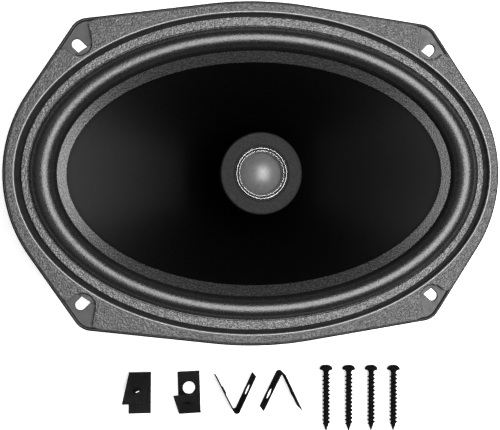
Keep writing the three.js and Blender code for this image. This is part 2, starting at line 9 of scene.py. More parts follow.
import bmesh
import bpy
import numpy as np
from mathutils import Matrix, Vector
from mathutils.geometry import delaunay_2d_cdt


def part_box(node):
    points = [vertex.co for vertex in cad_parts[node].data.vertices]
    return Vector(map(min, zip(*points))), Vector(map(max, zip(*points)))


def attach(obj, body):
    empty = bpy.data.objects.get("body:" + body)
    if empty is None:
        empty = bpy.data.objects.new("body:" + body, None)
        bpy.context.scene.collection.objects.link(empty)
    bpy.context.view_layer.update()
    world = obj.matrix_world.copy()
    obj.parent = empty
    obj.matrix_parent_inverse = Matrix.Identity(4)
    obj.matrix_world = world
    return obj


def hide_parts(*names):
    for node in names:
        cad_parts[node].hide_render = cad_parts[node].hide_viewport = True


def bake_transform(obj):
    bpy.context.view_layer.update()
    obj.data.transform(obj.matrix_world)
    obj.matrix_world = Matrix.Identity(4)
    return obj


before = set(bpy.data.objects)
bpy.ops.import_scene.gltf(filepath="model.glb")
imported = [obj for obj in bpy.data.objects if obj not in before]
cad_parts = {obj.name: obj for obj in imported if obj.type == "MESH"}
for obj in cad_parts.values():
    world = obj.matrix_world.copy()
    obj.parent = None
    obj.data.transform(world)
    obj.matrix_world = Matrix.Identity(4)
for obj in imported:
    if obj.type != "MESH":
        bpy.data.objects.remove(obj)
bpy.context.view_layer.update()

MM = 0.001
TAU = 2 * math.pi

# ---- Driving dimensions, in millimetres

# Outline of the stamped flange: two end arcs, two long flat arcs, four corners.
END_R = 66
END_X = 51.3
LONG_R = 168
HALF_WIDTH = 80.5
SIDE_ANGLE = 33.7
LONG_ANGLE = 82.2
CORNER_R = 9.5

# Ovals of the front, as semi-axes along X and Y. The foot is the part of the surround
# that lies under the clamp ring.
GASKET_INNER = (111.8, 74.7)
RING_INNER = (106.1, 68.7)
ROLL_OUTER = (106, 68.6)
FOOT_INNER = (105.2, 67.9)
ROLL_INNER = (93, 57.2)
CONE_EDGE = (89.1, 52.5)

# How far inside the outline the gasket starts, and where the painted shade on the rim's outer side ends.
GASKET_INSET = 1.45
RIM_SHADE_INSET = 0.75

# Mounting slot in each corner, and the round bay that the gasket leaves round it. A low
# step fills the cone side of the bay, up to a straight line across the slot. That line
# is STEP_LINE from the origin, with its normal at STEP_NORMAL degrees.
SLOT_OUTER = (83.5, 59.3)
SLOT_ANGLE = 44
SLOT_WIDTH = 4.8
SLOT_RUN = 4.2
CUT_CENTRE = (82.8, 59.8)
CUT_R = 6.1
STEP_NORMAL = 55
STEP_LINE = 92.8
STEP_TOP = 81.3
# Top of the dark sheet that paints shade in the crease between each step and the gasket.
SHADE_SHEET_TOP = 80.35

# Windows of the bowl. The span is in degrees.
WINDOW_COUNT = 6
WINDOW_SPAN = 45
WINDOW_LOW = 47.5
WINDOW_HIGH = 69

# Motor, spider and tweeter.
POLE_R = 12.2
POLE_BORE = 5.12
GAP_R = 14.6
MAGNET_BORE = 22
COIL_IN = 12.75
COIL_MID = 13.05
NECK_R = 13.4
GROOVE_HALF = 1.8
GROOVE_DEEP = 3.4
RIVET_RING = 31
WAVES_IN = 16
WAVES_OUT = 44
WAVE_COUNT = 5
POST_R = 5
POST_BORE = 1.9
TRIM_WIDTH = 1.9
DOME_R = 9.6
DOME_BASE = 81.6

# Mounting kit.
SCREW_LENGTH = 38
SCREW_HEAD_RISE = 2.5
SCREW_TAPER = 8
SCREW_R = 2.35
SCREW_CORE_R = 1.45
SCREW_HEAD_R = 3.7
SCREW_PITCH = 2.25
CLIP_LEG = 23
CLIP_WIDTH = 12.2
CLIP_SHEET = 0.7
CLIP_BEND = 1.9
CLIP_ANGLE = 52
CLIP_HOLE_RUN = 12
CLIP_THREAD_R = 1.7
CLIP_HOLE_R = 3.4


def extent(node):
    """Lowest and highest corner of a CAD node, in millimetres."""
    low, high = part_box(node)
    return np.array(low) / MM, np.array(high) / MM


FLANGE_FRONT = extent("front_gasket")[0][2]
GASKET_TOP = extent("front_gasket")[1][2]
FLANGE_REAR = FLANGE_FRONT - 1.5
RIM_TOP = extent("basket")[1][2]
LIP_TOP = extent("surround_clamp_ring")[0][2]
RING_TOP = extent("surround_clamp_ring")[1][2]
RING_OUTER = extent("surround_clamp_ring")[1][:2]
LEDGE_TOP = extent("spider")[0][2]
ROLL_TOP = LIP_TOP + 5.8
NECK_Z = extent("voice_coil_former")[1][2] - 0.4

# Heights of the cone's edge and of its rim, which the surround's lip is glued to. The
# edge is END_LIFT higher at the far ends of the oval and SIDE_DROP lower at its sides.
EDGE_Z = 77.1
RIM_Z = 79.6
END_LIFT = 0.75
SIDE_DROP = 0.4

# Twice the area, in square millimetres, under which a flat face's triangle is left out.
SLIVER = 2e-4

# ---- Curves


def arc(cx, cy, r, start, end, steps, last=True):
    """Points on an arc, from start to end in degrees."""
    t = np.radians(np.linspace(start, end, steps + 1))
    points = np.stack([cx + r * np.cos(t), cy + r * np.sin(t)], 1)
    return points if last else points[:-1]


def gap(a, b):
    """Mean distance between two points, or between two rings point by point."""
    return float(np.mean(np.linalg.norm(np.atleast_2d(b - a), axis=-1)))


def soften(points, radius, steps=3, closed=True, least_turn=12):
    """Points, or rings, with each corner turned into a short curve."""
    points = [np.asarray(p, float) for p in points]
    count = len(points)
    out = []
    for i, here in enumerate(points):
        if not closed and i in (0, count - 1):
            out.append(here)
            continue
        before = points[i - 1]
        after = points[(i + 1) % count]
        back, on = gap(here, before), gap(here, after)
        product = np.atleast_2d((here - before) * (after - here))
        bend = np.mean(np.sum(product, -1)) / max(back * on, 1e-9)
        if bend > math.cos(math.radians(least_turn)):
            out.append(here)
            continue
        start = here + (before - here) * min(radius / back, 0.45)
        end = here + (after - here) * min(radius / on, 0.45)
        for s in np.linspace(0, 1, steps + 1):
            out.append((1 - s) ** 2 * start + 2 * s * (1 - s) * here + s * s * end)
    return out


def densify(points, step, closed=True):
    """Points, or rings, with more put between those that are further apart than step."""
    out = []
    count = len(points)
    for i in range(count if closed else count - 1):
        a, b = np.asarray(points[i], float), np.asarray(points[(i + 1) % count], float)
        parts = max(1, int(math.ceil(gap(a, b) / step)))
        out += [a + (b - a) * k / parts for k in range(parts)]
    if not closed:
        out.append(np.asarray(points[-1], float))
    return out


def smooth_path(points, steps):
    """A centripetal Catmull-Rom curve through points, as steps + 1 evenly spaced points."""
    p = [np.asarray(q, float) for q in points]
    p = [2 * p[0] - p[1], *p, 2 * p[-1] - p[-2]]
    fine = []
    for i in range(1, len(p) - 2):
        knots = [0.0]
        for a, b in zip(p[i - 1:i + 2], p[i:i + 3]):
            knots.append(knots[-1] + max(np.linalg.norm(b - a), 1e-6) ** 0.5)
        for t in np.linspace(knots[1], knots[2], 16, endpoint=False):
            row = p[i - 1:i + 3]
            for level in range(1, 4):
                row = [
                    ((knots[j + level] - t) * row[j] + (t - knots[j]) * row[j + 1])
                    / (knots[j + level] - knots[j])
                    for j in range(len(row) - 1)
                ]
            fine.append(row[0])
    fine.append(p[-2])
    fine = np.array(fine)
    run = np.concatenate([[0], np.cumsum(np.linalg.norm(np.diff(fine, axis=0), axis=1))])
    even = np.linspace(0, run[-1], steps + 1)
    return np.stack([np.interp(even, run, fine[:, k]) for k in range(3)], 1)


def carried_frames(path, up):
    """Two directions square to the path at each of its points, with no twist along it."""
    path = np.asarray(path, float)
    along = np.gradient(path, axis=0)
    along /= np.linalg.norm(along, axis=1)[:, None]
    side = np.zeros_like(path)
    current = np.asarray(up, float)
    for i, t in enumerate(along):
        current = current - t * (current @ t)
        current /= np.linalg.norm(current)
        side[i] = current
    return side, np.cross(along, side)


# ---- Shells: (points, faces) in millimetres


def join(*shells):
    """Several shells as one."""
    points, faces, start = [], [], 0
    for more, its_faces in shells:
        points.append(np.asarray(more, float))
        faces += [tuple(start + i for i in face) for face in its_faces]
        start += len(more)
    return np.concatenate(points), faces


def skin(rings, closed=False, caps=True):
    """Faces over a stack of rings. A closed stack joins its last ring to its first."""
    rings = np.asarray(rings, float)
    m, n = rings.shape[:2]
    faces = []
    for k in range(m if closed else m - 1):
        a, b = k * n, ((k + 1) % m) * n
        faces += [(a + i, a + (i + 1) % n, b + (i + 1) % n, b + i) for i in range(n)]
    if not closed and caps:
        faces.append(tuple(reversed(range(n))))
        faces.append(tuple(range((m - 1) * n, m * n)))
    return rings.reshape(-1, 3), faces


def oval(a, b, z, n=288):
    t = np.linspace(0, TAU, n, endpoint=False)
    return np.stack([a * np.cos(t), b * np.sin(t), np.full(n, float(z))], 1)


def moulding(section, n=288):
    """A closed oval moulding from a section of [a, b, z]."""
    return skin([oval(a, b, z, n) for a, b, z in section], closed=True)


def lathe(section, n=128, closed=True):
    """A turned part from a section of [r, z]. An open section starts and ends on the axis."""
    return skin([oval(r, r, z, n) for r, z in section], closed=closed, caps=False)


def turned(section, radius, steps, n):
    """A turned part from an open section of [r, z], with its corners softened."""
    return lathe(soften(section, radius, steps, closed=False), n, closed=False)


def prism(loop, z0, z1):
    loop = np.asarray(loop, float)
    return skin([np.column_stack([loop, np.full(len(loop), z)]) for z in (z0, z1)])


def box(x0, x1, y0, y1, z0, z1):
    return prism([(x0, y0), (x1, y0), (x1, y1), (x0, y1)], z0, z1)


def moved(shell, matrix):
    points, faces = shell
    m = np.array(matrix, float)
    return np.asarray(points) @ m[:3, :3].T + m[:3, 3], faces


def shifted(shell, x, y, z):
    return moved(shell, Matrix.Translation((x, y, z)))


def turn(angle, axis):
    return Matrix.Rotation(math.radians(angle), 4, axis)


def sweep(path, section, up=(0, 0, 1)):
    """A closed section of (side, rise) carried along a path, capped at both ends."""
    side, rise = carried_frames(path, up)
    across, above = np.array(section, float).T
    rings = [p + np.outer(across, a) + np.outer(above, b)
             for p, a, b in zip(np.asarray(path, float), side, rise)]
    return skin(rings)


def circle(r, n=12):
    return [(r * math.cos(TAU * i / n), r * math.sin(TAU * i / n)) for i in range(n)]


def twisted(path, strands, lay, reach, r, up=(0, 0, 1)):
    """Round strands wound round a path, one turn per lay, each r thick at reach from it."""
    side, rise = carried_frames(path, up)
    run = np.concatenate([[0], np.cumsum(np.linalg.norm(np.diff(path, axis=0), axis=1))])
    shells = []
    for k in range(strands):
        phase = TAU * (run / lay + k / strands)
        centre = path + reach * (np.cos(phase)[:, None] * side + np.sin(phase)[:, None] * rise)
        shells.append(sweep(centre, circle(r, 8), up))
    return join(*shells)


def inset_loop(loop, distance):
    """A closed 2-D loop, counterclockwise, moved to its inner side by a small distance."""
    loop = np.asarray(loop, float)
    back = loop - np.roll(loop, 1, 0)
    on = np.roll(loop, -1, 0) - loop
    back = np.stack([-back[:, 1], back[:, 0]], 1) / np.linalg.norm(back, axis=1)[:, None]
    on = np.stack([-on[:, 1], on[:, 0]], 1) / np.linalg.norm(on, axis=1)[:, None]
    middle = back + on
    middle /= np.linalg.norm(middle, axis=1)[:, None]
    reach = distance / np.maximum(0.5, np.sum(middle * on, 1))
    return loop + middle * reach[:, None]


def inside(points, loop):
    """Whether each 2-D point is inside a closed loop."""
    points, loop = np.asarray(points, float), np.asarray(loop, float)
    found = np.zeros(len(points), bool)
    for (x0, y0), (x1, y1) in zip(loop, np.roll(loop, -1, 0)):
        crosses = (points[:, 1] < y0) != (points[:, 1] < y1)
        if crosses.any():
            at = x0 + (points[:, 1] - y0) * (x1 - x0) / ((y1 - y0) or 1e-12)
            found ^= crosses & (points[:, 0] < at)
    return found


def flat_face(outer, holes, z):
    """Triangles that fill a 2-D loop with holes, at height z."""
    loops = [np.asarray(l, float) for l in (outer, *holes)]
    points = np.concatenate(loops)
    edges, start = [], 0
    for loop in loops:
        n = len(loop)
        edges += [(start + i, start + (i + 1) % n) for i in range(n)]
        start += n
    made = delaunay_2d_cdt([Vector(p) for p in points], edges, [], 0, 1e-7)
    at = np.array([list(p) for p in made[0]])
    middles = np.array([at[list(f)].mean(0) for f in made[2]])
    corners = np.array([at[list(f)] for f in made[2]])
    (ux, uy), (vx, vy) = (corners[:, 1] - corners[:, 0]).T, (corners[:, 2] - corners[:, 0]).T
    kept = inside(middles, loops[0]) & (np.abs(ux * vy - uy * vx) > SLIVER)
    for hole in loops[1:]:
        kept &= ~inside(middles, hole)
    faces = [tuple(f) for f, ok in zip(made[2], kept) if ok]
    return np.column_stack([at, np.full(len(at), z)]), faces


def plate(outer, holes, z0, z1, bevel=0.3, steps=4, low_bevel=0.0):
    """A flat plate with rounded edges. The loops are counterclockwise."""
    shells, tops, bottoms = [], [], []
    for loop, sign in [(outer, 1), *[(h, -1) for h in holes]]:
        rings = []
        if low_bevel:
            rings.append((low_bevel, z0))
            rings.append((0, z0 + low_bevel))
        else:
            rings.append((0, z0))
        for a in np.linspace(0, math.pi / 2, steps + 1):
            rings.append((bevel * (1 - math.cos(a)), z1 - bevel + bevel * math.sin(a)))
        rings.append((bevel + 0.12, z1))
        stack = []
        for inset, z in rings:
            at = inset_loop(loop, sign * inset) if inset else np.asarray(loop, float)
            stack.append(np.column_stack([at, np.full(len(at), z)]))
        shells.append(skin(stack, caps=False))
        tops.append(stack[-1][:, :2])
        bottoms.append(stack[0][:, :2])
    shells.append(flat_face(tops[0], tops[1:], z1))
    shells.append(flat_face(bottoms[0], bottoms[1:], z0))
    return join(*shells)


def linked(name, data):
    """A new object in the scene."""
    obj = bpy.data.objects.new(name, data)
    bpy.context.scene.collection.objects.link(obj)
    return obj


def bare_object(shell):
    """A shell as a mesh object with its normals outward, for a boolean."""
    mesh = bpy.data.meshes.new("shell")
    mesh.from_pydata([tuple(p) for p in shell[0]], [], shell[1])
    clean(mesh, 1e-4)
    return linked("shell", mesh)


def clean(mesh, merge):
    """Make points closer than merge one, and turn all faces outward."""
    bm = bmesh.new()
    bm.from_mesh(mesh)
    bmesh.ops.remove_doubles(bm, verts=bm.verts, dist=merge)
    bmesh.ops.recalc_face_normals(bm, faces=bm.faces)
    bm.to_mesh(mesh)
    bm.free()


def combined(shell, tools, operation="DIFFERENCE"):
    """The shell less the tools, or joined to them."""
    body, tool = bare_object(shell), bare_object(join(*tools))
    modifier = body.modifiers.new("tool", "BOOLEAN")
    modifier.operation = operation
    modifier.solver = "EXACT"
    modifier.object = tool
    bpy.context.view_layer.update()
    graph = bpy.context.evaluated_depsgraph_get()
    mesh = bpy.data.meshes.new_from_object(body.evaluated_get(graph))
    points = np.array([v.co for v in mesh.vertices], float)
    faces = [tuple(p.vertices) for p in mesh.polygons]
    for obj in (body, tool):
        old = obj.data
        bpy.data.objects.remove(obj)
        bpy.data.meshes.remove(old)
    bpy.data.meshes.remove(mesh)
    return points, faces


def piece(node, parts, body="frame", smooth=32):
    """A visual piece in place of a CAD node, from a list of (shell, material)."""
    points, faces = join(*[shell for shell, _ in parts])
    mesh = bpy.data.meshes.new(node + "_visual")
    mesh.from_pydata([tuple(p * MM) for p in points], [], faces)
    looks, of_faces = [], []
    for shell, material in parts:
        if material not in looks:
            looks.append(material)
        of_faces += [looks.index(material)] * len(shell[1])
    mesh.polygons.foreach_set("material_index", of_faces)
    for material in looks:
        mesh.materials.append(material)
    clean(mesh, 2e-7)
    mesh.validate()
    mesh.shade_smooth()
    mesh.set_sharp_from_angle(angle=math.radians(smooth))
    obj = linked(node + "_visual", mesh)
    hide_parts(node)
    if body:
        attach(obj, body)
    return obj


# ---- Materials


def look(name, colour, roughness, metal=0.0, specular=0.5, mottle=0.25, patch=9.0,
         spread=0.08, bumps=(), wear=None, coat=0.0):
    """A procedural material. Sizes are in millimetres.

    The colour and roughness vary in patches, bumps are (kind, size, depth), and wear is
    the (colour, amount) that shows on outer edges.
    """
    material = bpy.data.materials.new(name)
    material.use_nodes = True
    nodes, links = material.node_tree.nodes, material.node_tree.links
    shader = nodes["Principled BSDF"]
    place = nodes.new("ShaderNodeTexCoord").outputs["Object"]

    def noise(size, detail=5.0):
        made = nodes.new("ShaderNodeTexNoise")
        made.inputs["Scale"].default_value = 1 / (size * MM)
        made.inputs["Detail"].default_value = detail
        links.new(place, made.inputs["Vector"])
        return made.outputs[0]

    def mapped(value, low, high, to_low, to_high):
        made = nodes.new("ShaderNodeMapRange")
        links.new(value, made.inputs["Value"])
        ends = {"From Min": low, "From Max": high, "To Min": to_low, "To Max": to_high}
        for key, number in ends.items():
            made.inputs[key].default_value = number
        return made.outputs["Result"]

    def mixed(amount, first, second):
        made = nodes.new("ShaderNodeMix")
        made.data_type = "RGBA"
        links.new(amount, made.inputs[0])
        for socket, value in ((made.inputs[6], first), (made.inputs[7], second)):
            if isinstance(value, tuple):
                socket.default_value = (*value, 1)
            else:
                links.new(value, socket)
        return made.outputs[2]

    def maths(operation, first, second):
        made = nodes.new("ShaderNodeMath")
        made.operation = operation
        for socket, value in zip(made.inputs, (first, second)):
            if isinstance(value, (int, float)):
                socket.default_value = value
            else:
                links.new(value, socket)
        return made.outputs[0]

    def wave(kind, direction, size):
        made = nodes.new("ShaderNodeTexWave")
        made.wave_type = kind
        if kind == "RINGS":
            made.rings_direction = direction
        else:
            made.bands_direction = direction
        made.inputs["Scale"].default_value = TAU / 20 / (size * MM)
        made.inputs["Distortion"].default_value = 0.6 if kind == "RINGS" else 0.0
        links.new(place, made.inputs["Vector"])
        return made.outputs["Fac"]

    def height(kind, size):
        if kind == "grain":
            return noise(size, 3.0)
        if kind == "rings":
            return wave("RINGS", "Z", size)
        if kind == "weave":
            return maths("MAXIMUM", wave("BANDS", "X", size), wave("BANDS", "Y", size))
        made = nodes.new("ShaderNodeTexVoronoi")
        made.inputs["Scale"].default_value = 1 / (size * MM)
        links.new(place, made.inputs["Vector"])
        return maths("SUBTRACT", 1.0, made.outputs["Distance"])

    if not isinstance(colour, tuple):
        colour = (colour, colour, colour)
    dark = tuple(c * (1 - mottle) for c in colour)
    light = tuple(min(1.0, c * (1 + mottle)) for c in colour)
    base = mixed(mapped(noise(patch), 0.3, 0.7, 0, 1), dark, light)
    speck = mapped(noise(patch / 8, 2.0), 0.35, 0.65, 0, 1)
    base = mixed(maths("MULTIPLY", speck, 0.35), base, light)
    rough = mapped(noise(patch / 3), 0.3, 0.7, roughness - spread, roughness + spread)
    if wear:
        pointed = nodes.new("ShaderNodeNewGeometry").outputs["Pointiness"]
        edge = mapped(pointed, 0.52, 0.6, 0, wear[1])
        worn = maths("MULTIPLY", edge, mapped(noise(patch / 4), 0.35, 0.65, 0.2, 1))
        base = mixed(worn, base, wear[0])
    links.new(base, shader.inputs["Base Color"])
    links.new(rough, shader.inputs["Roughness"])
    shader.inputs["Metallic"].default_value = metal
    shader.inputs["Specular IOR Level"].default_value = specular
    shader.inputs["Coat Weight"].default_value = coat
    shader.inputs["Coat Roughness"].default_value = 0.2
    normal = None
    for kind, size, depth in bumps:
        made = nodes.new("ShaderNodeBump")
        made.inputs["Strength"].default_value = 1.0
        made.inputs["Distance"].default_value = depth * MM
        links.new(height(kind, size), made.inputs["Height"])
        if normal:
            links.new(normal, made.inputs["Normal"])
        normal = made.outputs["Normal"]
    if normal:
        links.new(normal, shader.inputs["Normal"])
    return material


PAINT = look("black_powder_paint", 0.02, 0.42, specular=0.4,
             bumps=[("grain", 1.1, 0.03), ("grain", 0.25, 0.008)], wear=((0.06, 0.06, 0.06), 0.5))
GRAINED = look("grained_gasket", 0.05, 0.38, specular=0.6, mottle=0.3, patch=2, spread=0.16,
               bumps=[("cells", 1.0, 0.35), ("grain", 0.9, 0.45)])
GASKET_EDGE = look("gasket_edge_bead", 0.14, 0.35, specular=1.0, patch=3,
                   bumps=[("grain", 0.4, 0.01)])
RING = look("grained_ring", 0.06, 0.36, specular=0.8, mottle=0.3, patch=2, spread=0.16,
            bumps=[("cells", 1.0, 0.32), ("grain", 0.9, 0.4)])
RUBBER = look("surround_rubber", 0.01, 0.27, specular=0.5, mottle=0.2, patch=2.4, spread=0.12,
              bumps=[("grain", 0.9, 0.07), ("grain", 0.45, 0.02)])
POLY = look("cone_polypropylene", 0.0004, 0.3, specular=0.07, mottle=0.15, patch=3, spread=0.03,
            bumps=[("grain", 0.6, 0.008)])
PLASTIC = look("tweeter_plastic", 0.009, 0.5, specular=0.08, mottle=0.25, patch=3,
               bumps=[("cells", 0.7, 0.03), ("grain", 0.3, 0.02)])
SILVER = look("silver_trim", 0.6, 0.24, metal=1.0, mottle=0.06, patch=2,
              bumps=[("grain", 0.4, 0.004)])
DARK_GROOVE = look("dark_groove", 0.006, 0.6, specular=0.2, bumps=[("grain", 0.4, 0.01)])
SILK = look("tweeter_dome_silk", 0.085, 0.36, specular=0.65, mottle=0.12, patch=2.5,
            bumps=[("weave", 0.32, 0.006), ("grain", 0.6, 0.012)])
ZINC = look("zinc_plated_steel", (0.58, 0.57, 0.54), 0.33, metal=1.0, mottle=0.12, patch=11,
            bumps=[("rings", 0.7, 0.006), ("grain", 0.9, 0.01)], wear=((0.85, 0.84, 0.8), 0.6))
RIVET = look("rivet_steel", (0.55, 0.54, 0.52), 0.3, metal=1.0, patch=2,
             bumps=[("grain", 0.6, 0.015)])
FERRITE = look("ferrite", (0.05, 0.05, 0.054), 0.62, specular=0.4, mottle=0.35, patch=5,
               bumps=[("grain", 2.2, 0.06), ("grain", 0.5, 0.03)], wear=((0.12, 0.12, 0.125), 0.6))
ALLOY = look("post_alloy", 0.62, 0.32, metal=1.0, patch=3,
             bumps=[("rings", 0.4, 0.003), ("grain", 0.5, 0.006)])
NICKEL = look("nickel_plate", 0.66, 0.22, metal=1.0, patch=3, bumps=[("grain", 0.8, 0.006)])
COPPER = look("enamelled_copper", (0.52, 0.2, 0.09), 0.3, metal=1.0, patch=2,
              bumps=[("grain", 0.5, 0.004)], coat=0.4)
FOIL = look("former_polyimide", (0.26, 0.12, 0.03), 0.36, metal=0.3, patch=5,
            bumps=[("grain", 1.5, 0.01)], coat=0.3)
CLOTH = look("spider_cloth", (0.42, 0.25, 0.07), 0.8, specular=0.25, mottle=0.3, patch=5,
             bumps=[("weave", 0.9, 0.09), ("grain", 0.4, 0.03)])
BRAID = look("copper_braid", (0.56, 0.27, 0.12), 0.42, metal=0.9, patch=1.5, mottle=0.35,
             bumps=[("cells", 0.3, 0.03)])
JACKET = look("cable_jacket", 0.018, 0.42, specular=0.45, patch=5, bumps=[("grain", 0.7, 0.01)])
PHENOLIC = look("phenolic_board", (0.16, 0.075, 0.03), 0.55, mottle=0.3, patch=4,
                bumps=[("weave", 0.6, 0.012), ("grain", 0.5, 0.01)])
TIN = look("tinned_brass", (0.72, 0.7, 0.64), 0.28, metal=1.0, mottle=0.12, patch=3,
           bumps=[("grain", 0.7, 0.008)], wear=((0.62, 0.45, 0.2), 0.35))
FILM = look("capacitor_film", (0.03, 0.06, 0.24), 0.35, mottle=0.2, patch=4,
            bumps=[("grain", 1.5, 0.02)], coat=0.3)
EPOXY = look("capacitor_end", (0.1, 0.09, 0.08), 0.5, patch=2, bumps=[("grain", 0.7, 0.04)])
SOLDER = look("solder", 0.6, 0.3, metal=1.0, patch=1.5, bumps=[("grain", 0.8, 0.03)])
OXIDE = look("black_oxide_steel", 0.006, 0.6, specular=0.0, mottle=0.35, patch=3,
             bumps=[("grain", 0.6, 0.03)], wear=((0.03, 0.03, 0.031), 0.5))
# Near-black, dull paint for the rim's outer side: painted shade.
RIM_SHADE_PAINT = look("painted_rim_shade", 0.004, 0.6, specular=0.04, mottle=0.3, patch=4,
                  bumps=[("grain", 0.8, 0.03)])
# Near-black matte sheet for the groove floor and the creases by the steps: painted shade.
GROOVE_SHADE = look("painted_groove_shade", 0.012, 0.8, specular=0.06, mottle=0.3, patch=3,
               bumps=[("grain", 0.6, 0.06)])
GLUE = look("clear_black_adhesive", 0.006, 0.25, specular=0.5, patch=3, bumps=[("grain", 1.5, 0.05)])

# ---- Basket


def corner_centre():
    """Centre of the corner fillet, CORNER_R inside the end and the long tangent lines."""
    side, long = math.radians(SIDE_ANGLE), math.radians(LONG_ANGLE)
    d1 = math.cos(side) * END_X + END_R - CORNER_R
    d2 = math.sin(long) * (HALF_WIDTH - LONG_R) + LONG_R - CORNER_R
    rows = [[math.cos(side), math.sin(side)], [math.cos(long), math.sin(long)]]
    return np.linalg.solve(rows, [d1, d2])


def outline(inset):
    """The flange's outline moved inward, as a counterclockwise 2-D loop."""
    cx, cy = corner_centre()
    low = HALF_WIDTH - LONG_R
    side, long = SIDE_ANGLE, LONG_ANGLE
    half = [
        (END_X, 0, END_R, -side, side, 52), (cx, cy, CORNER_R, side, long, 14),
        (0, low, LONG_R, long, 180 - long, 66), (-cx, cy, CORNER_R, 180 - long, 180 - side, 14),
    ]
    return np.concatenate([
        arc(sign * x, sign * y, r - inset, start + spin, end + spin, steps, last=False)
        for sign, spin in ((1, 0), (-1, 180)) for x, y, r, start, end, steps in half
    ])


def ring_at(loop, z):
    return np.column_stack([loop, np.full(len(loop), float(z))])


def mirrored(loop):
    """A counterclockwise 2-D loop of the +X +Y corner, in all four corners."""
    loop = np.asarray(loop, float)
    for sx in (1, -1):
        for sy in (1, -1):
            copy = loop * (sx, sy)
            yield copy if sx * sy > 0 else copy[::-1]


def slot_loop(grow=0.0):
    way = np.array([math.cos(math.radians(SLOT_ANGLE)), math.sin(math.radians(SLOT_ANGLE))])
    inner = np.array(SLOT_OUTER) - SLOT_RUN * way
    r = SLOT_WIDTH / 2 + grow
    return np.concatenate([
        arc(*SLOT_OUTER, r, SLOT_ANGLE - 90, SLOT_ANGLE + 90, 14),
        arc(*inner, r, SLOT_ANGLE + 90, SLOT_ANGLE + 270, 14),
    ])


def window_tool(centre):
    """A wedge that opens outward and cuts one window of the bowl, with round corners."""
    half, low, high = WINDOW_SPAN / 2, WINDOW_LOW, WINDOW_HIGH
    per_degree = 1.4
    corners = [
        (-0.92 * half, low), (0.92 * half, low), (half, low + 4), (half, high - 5),
        (0.86 * half, high), (-0.86 * half, high), (-half, high - 5), (-half, low + 4),
    ]
    shape = soften([np.array([a * per_degree, z]) for a, z in corners], 4, 4)
    shape = densify(shape, 5)
    rings = []
    for a, b in ((44, 40), (125, 92)):
        t = np.radians([centre + p[0] / per_degree for p in shape])
        rings.append(np.stack([a * np.cos(t), b * np.sin(t), [p[1] for p in shape]], 1))
    return skin(rings)


def paint_rim_shade(obj):
    """Paint the rim's outer side, which the gasket leaves bare, near black and dull: painted shade where the
    rim falls away from the light.
    """
    mesh = obj.data
    mesh.materials.append(RIM_SHADE_PAINT)
    middles = np.zeros(3 * len(mesh.polygons))
    mesh.polygons.foreach_get("center", middles)
    middles = middles.reshape(-1, 3) / MM
    looks = np.zeros(len(middles), int)
    mesh.polygons.foreach_get("material_index", looks)
    outside = ~inside(middles[:, :2], outline(RIM_SHADE_INSET)) & (middles[:, 2] > FLANGE_REAR)
    looks[outside] = len(mesh.materials) - 1
    mesh.polygons.foreach_set("material_index", looks.astype(np.int32))


def add_ribs(stack, t):
    """A pressed rib down the middle of each spoke. t is the angle of each ring point."""
    spoke = TAU / WINDOW_COUNT
    off = np.abs((t + spoke / 2) % spoke - spoke / 2)
    across = np.clip(1 - off / math.radians(4.6), 0, 1)
    across = across * across * (3 - 2 * across)
    for ring in stack:
        z = float(ring[0, 2])
        if 44.5 < z < 72 and abs(ring[0, 0]) < 105:
            along = math.sin(math.pi * (z - 44.5) / 27.5) ** 0.7
            ring[:, 2] -= 1.5 * along * across


